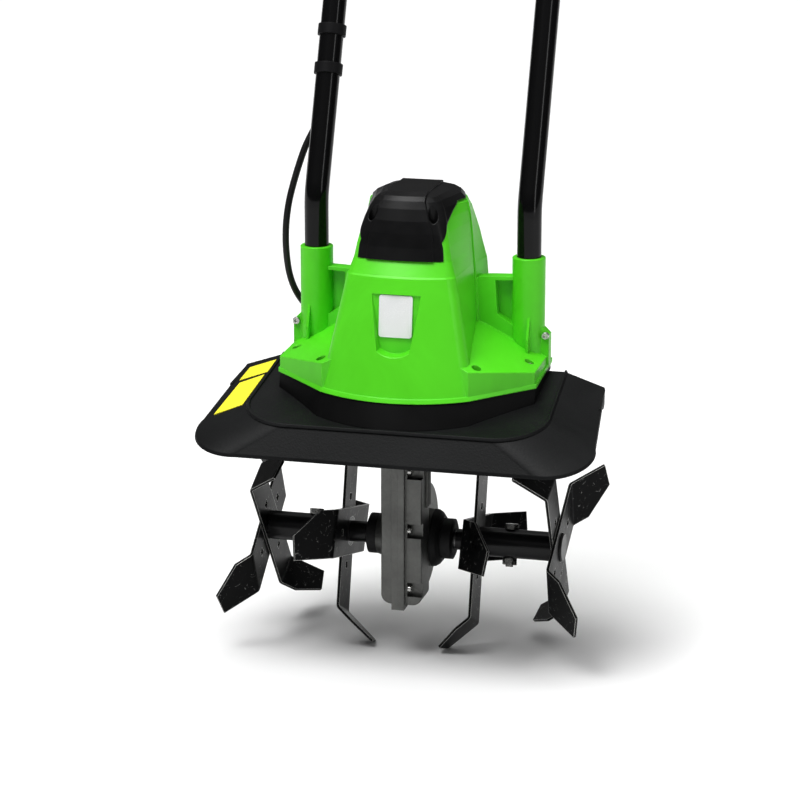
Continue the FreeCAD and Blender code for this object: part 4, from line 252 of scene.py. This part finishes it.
FINISHES = {
    "housing_front": GREEN, "housing_rear": GREEN, "top_cap": CAP_BLACK, "badge_plate": BADGE,
    "guard_labels": YELLOW, "guard_deck": CHARCOAL, "base_ring": RING_BLACK,
    "lower_tube_left": TUBE, "lower_tube_right": TUBE, "upper_handle": TUBE, "foam_grip": FOAM,
    "switch_base": CAP_BLACK, "switch_cover": CAP_BLACK, "inlet_pins": BRONZE,
    "micro_switch": CLIP, "bail_bracket": CAP_BLACK, "bail_lever": TUBE, "lock_button": RED,
    "star_knob_left": CLIP, "star_knob_right": CLIP, "motor_lead_lower": LEAD,
    "motor_lead_upper": LEAD, "lead_clips_lower": CLIP, "lead_clips_upper": CLIP,
    "pivot_bolts": ZINC, "pivot_saddles": CLIP, "gear_case_left": CASE, "gear_case_right": CASE,
    "gear_case_screws": ZINC, "housing_screws": ZINC, "axle_bushes": BRONZE,
    "seal_cup_left": RUBBER, "seal_cup_right": RUBBER, "bearing_cover_right": CHARCOAL,
    "stator_core": STEEL, "field_coils": COPPER, "brush_holders": BRONZE,
    "carbon_brushes": CLIP, "motor_bearings": STEEL, "motor_plate": CASE, "brush_bridge": CLIP,
    "worm_bearings": STEEL, "worm_shaft": STEEL, "reduction_gear": STEEL, "rotor_shaft": STEEL,
    "armature_stack": STEEL, "armature_windings": COPPER, "commutator": COPPER,
    "cooling_fan": CLIP, "tine_shaft": SHAFT, "worm_wheel": BRONZE, "wheel_key": STEEL,
    "tine_inner_left": TINE, "tine_inner_right": TINE, "tine_outer_left": TINE,
    "tine_outer_right": TINE, "hub_sleeve_left": SLEEVE, "hub_sleeve_right": SLEEVE,
    "hub_bolts": ZINC,
}


for node_name, finish in FINISHES.items():
    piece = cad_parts[node_name]
    if not piece.material_slots:
        piece.data.materials.append(finish)
    for slot in piece.material_slots:
        slot.material = finish


def add_object(name, data):
    """A new object of the scene that holds the given data."""
    made = bpy.data.objects.new(name, data)
    bpy.context.scene.collection.objects.link(made)
    return made


# ---------------------------------------------------------------- the motor lead

HANDLE_LEAN = math.radians(21.0)
PIVOT = Vector((0.0, FRAME_Y + 0.25 * math.sin(HANDLE_LEAN),
                FRAME_Z + 0.464 + 0.25 * math.cos(HANDLE_LEAN)))
LEAD_DIAMETER = 0.007
# on the machine: x, y and z from the sockets and the ground
LEAD_ON_MACHINE = ((-60, 32, 311), (-84, 48, 311), (-106, 56, 313), (-131, 40, 329),
                   (-147, 20, 362), (-151.5, 14, 405), (-150.5, 19, 445), (-143, 30, 482))
# on the handle tubes: x, along them from the fold pivot, and out of their plane
LEAD_ON_HANDLE = ((-133, -188, -17.5), (-112.7, -150, -17.5), (-112.7, -100, -17.5),
                  (-112.7, -50, -17.5),
                  (-107, -22, -29.5), (-104, 0, -31), (-101, 22, -29.5), (-93, 52, -17.5),
                  (-93, 80, -17.5), (-120, 117, -17.5), (-146, 160, -17.5), (-167, 198, -17),
                  (-177, 233, -13), (-178, 262, -6))


def on_handle(x, along, out):
    """A point given in millimetres on the handle, as a point of the frame in metres."""
    return PIVOT + Vector((x, along * math.sin(HANDLE_LEAN) - out * math.cos(HANDLE_LEAN),
                           along * math.cos(HANDLE_LEAN) + out * math.sin(HANDLE_LEAN))) * 0.001


def spline_path(name, points):
    """Points read along the NURBS spline that the route's points control."""
    curve = bpy.data.curves.new(name, "CURVE")
    curve.dimensions = "3D"
    curve.resolution_u = 10
    spline = curve.splines.new("NURBS")
    spline.points.add(len(points) - 1)
    for knot, point in zip(spline.points, points):
        knot.co = (*point, 1.0)
    spline.order_u = 3
    spline.use_endpoint_u = True
    holder = add_object(name, curve)
    bpy.context.view_layer.update()
    line = bpy.data.meshes.new_from_object(holder)
    path = [vertex.co.copy() for vertex in line.vertices]
    bpy.data.objects.remove(holder)
    bpy.data.meshes.remove(line)
    return path


def tube_mesh(name, path, radius, sides=14):
    """A closed round tube along a path, its rings carried on without twist."""
    vertices = []
    faces = []
    side = Vector((1.0, 0.0, 0.0))
    for number, point in enumerate(path):
        before = path[max(0, number - 1)]
        after = path[min(len(path) - 1, number + 1)]
        ahead = (after - before).normalized()
        side = (side - ahead * side.dot(ahead)).normalized()
        up = ahead.cross(side)
        for k in range(sides):
            angle = 2 * math.pi * k / sides
            vertices.append(point + side * (radius * math.cos(angle)) + up * (radius * math.sin(angle)))
        if number:
            first = (number - 1) * sides
            for k in range(sides):
                following = (k + 1) % sides
                faces.append((first + k, first + following, first + sides + following,
                              first + sides + k))
    faces.append(tuple(reversed(range(sides))))
    faces.append(tuple(range(len(vertices) - sides, len(vertices))))
    mesh = bpy.data.meshes.new(name)
    mesh.from_pydata(vertices, [], faces)
    mesh.shade_smooth()
    return add_object(name, mesh)


def make_lead():
    points = [Vector((x, y, z)) * 0.001 + Vector((0, FRAME_Y, FRAME_Z))
              for x, y, z in LEAD_ON_MACHINE]
    points += [on_handle(*station) for station in LEAD_ON_HANDLE]
    path = spline_path("lead_route", points)
    lead = tube_mesh("motor_lead", path, LEAD_DIAMETER / 2)
    lead.data.materials.append(LEAD)
    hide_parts("motor_lead_lower", "motor_lead_upper")
    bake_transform(lead)


# ---------------------------------------------------------------- floor, light and camera

FLOOR_HALF = 60.0
SUN_DIRECTION = Vector((0.2, 0.36, -1.0))
# brightness of the white room at the horizon and overhead
ROOM_SIDE = 0.07
ROOM_TOP = 0.8
# the view: angle to the right of the front, height, and what the camera looks at
VIEW_TURN = math.radians(14.659446)
VIEW_RISE = math.radians(15.205645)
VIEW_DISTANCE = 3.183772
VIEW_TARGET_HEIGHT = 0.0453
VIEW_SHIFT_ACROSS = -0.022701
VIEW_SHIFT_UP = 0.2

def make_floor():
    mesh = bpy.data.meshes.new("floor")
    half = FLOOR_HALF
    mesh.from_pydata([(-half, -half, 0), (half, -half, 0), (half, half, 0), (-half, half, 0)], [],
                     [(0, 1, 2, 3)])
    floor = add_object("floor", mesh)
    n = Nodes("floor_paint")
    n.set(color=rgb(0.86, 0.86, 0.86), rough=0.75, specular=0.2)
    mesh.materials.append(n.material)


def area_light(name, at, target, size, power):
    lamp = bpy.data.lights.new(name, "AREA")
    lamp.shape = "RECTANGLE"
    lamp.size, lamp.size_y = size
    lamp.energy = power
    holder = add_object(name, lamp)
    holder.location = at
    look = Vector(target) - Vector(at)
    holder.rotation_euler = look.to_track_quat("-Z", "Y").to_euler()


def make_sun():
    """A wide soft light from high up on the front left; it lights the whole floor alike."""
    lamp = bpy.data.lights.new("sun", "SUN")
    lamp.energy = 2.1
    lamp.angle = math.radians(35.0)
    holder = add_object("sun", lamp)
    holder.rotation_euler = SUN_DIRECTION.to_track_quat("-Z", "Y").to_euler()


def make_world():
    """A white room, brighter overhead than round the sides."""
    world = bpy.data.worlds.new("studio")
    world.use_nodes = True
    tree = world.node_tree
    direction = tree.nodes.new("ShaderNodeTexCoord").outputs["Generated"]
    parts = tree.nodes.new("ShaderNodeSeparateXYZ")
    tree.links.new(direction, parts.inputs["Vector"])
    level = tree.nodes.new("ShaderNodeMapRange")
    level.inputs["From Min"].default_value = 0.0
    level.inputs["From Max"].default_value = 1.0
    level.inputs["To Min"].default_value = ROOM_SIDE
    level.inputs["To Max"].default_value = ROOM_TOP
    square = tree.nodes.new("ShaderNodeMath")
    square.operation = "POWER"
    square.inputs[1].default_value = 2.0
    tree.links.new(parts.outputs["Z"], square.inputs[0])
    tree.links.new(square.outputs[0], level.inputs["Value"])
    background = tree.nodes["Background"]
    tree.links.new(level.outputs["Result"], background.inputs["Strength"])
    background.inputs["Color"].default_value = (1.0, 1.0, 1.0, 1.0)
    bpy.context.scene.world = world


def set_look():
    settings = bpy.context.scene.view_settings
    settings.view_transform = "Standard"
    settings.gamma = 0.8
    settings.exposure = 0.2


def make_camera():
    across = Vector((math.cos(VIEW_TURN), math.sin(VIEW_TURN), 0))
    back = Vector((math.sin(VIEW_TURN) * math.cos(VIEW_RISE),
                   -math.cos(VIEW_TURN) * math.cos(VIEW_RISE), math.sin(VIEW_RISE)))
    up = back.cross(across)
    target = Vector((0, FRAME_Y, VIEW_TARGET_HEIGHT + FRAME_Z))
    place = target + across * VIEW_SHIFT_ACROSS + up * VIEW_SHIFT_UP + back * VIEW_DISTANCE
    lens = bpy.data.cameras.new("camera")
    lens.lens = 135.0
    lens.sensor_width = 36.0
    lens.clip_end = 200.0
    holder = add_object("camera", lens)
    turned = Matrix((across, up, back)).transposed().to_4x4()
    holder.matrix_world = Matrix.Translation(place) @ turned
    bpy.context.scene.camera = holder


make_lead()
make_floor()
make_world()
set_look()
make_sun()
area_light("key", (-0.9, -1.7, 3.0), (0, 0, 0.4), (0.8, 1.4), 12.0)
area_light("fill", (2.4, -1.4, 1.2), (0, 0, 0.4), (0.4, 1.8), 8.0)
area_light("top", (0.2, 0.5, 3.2), (0, 0, 0.3), (2.2, 1.6), 12.0)
make_camera()
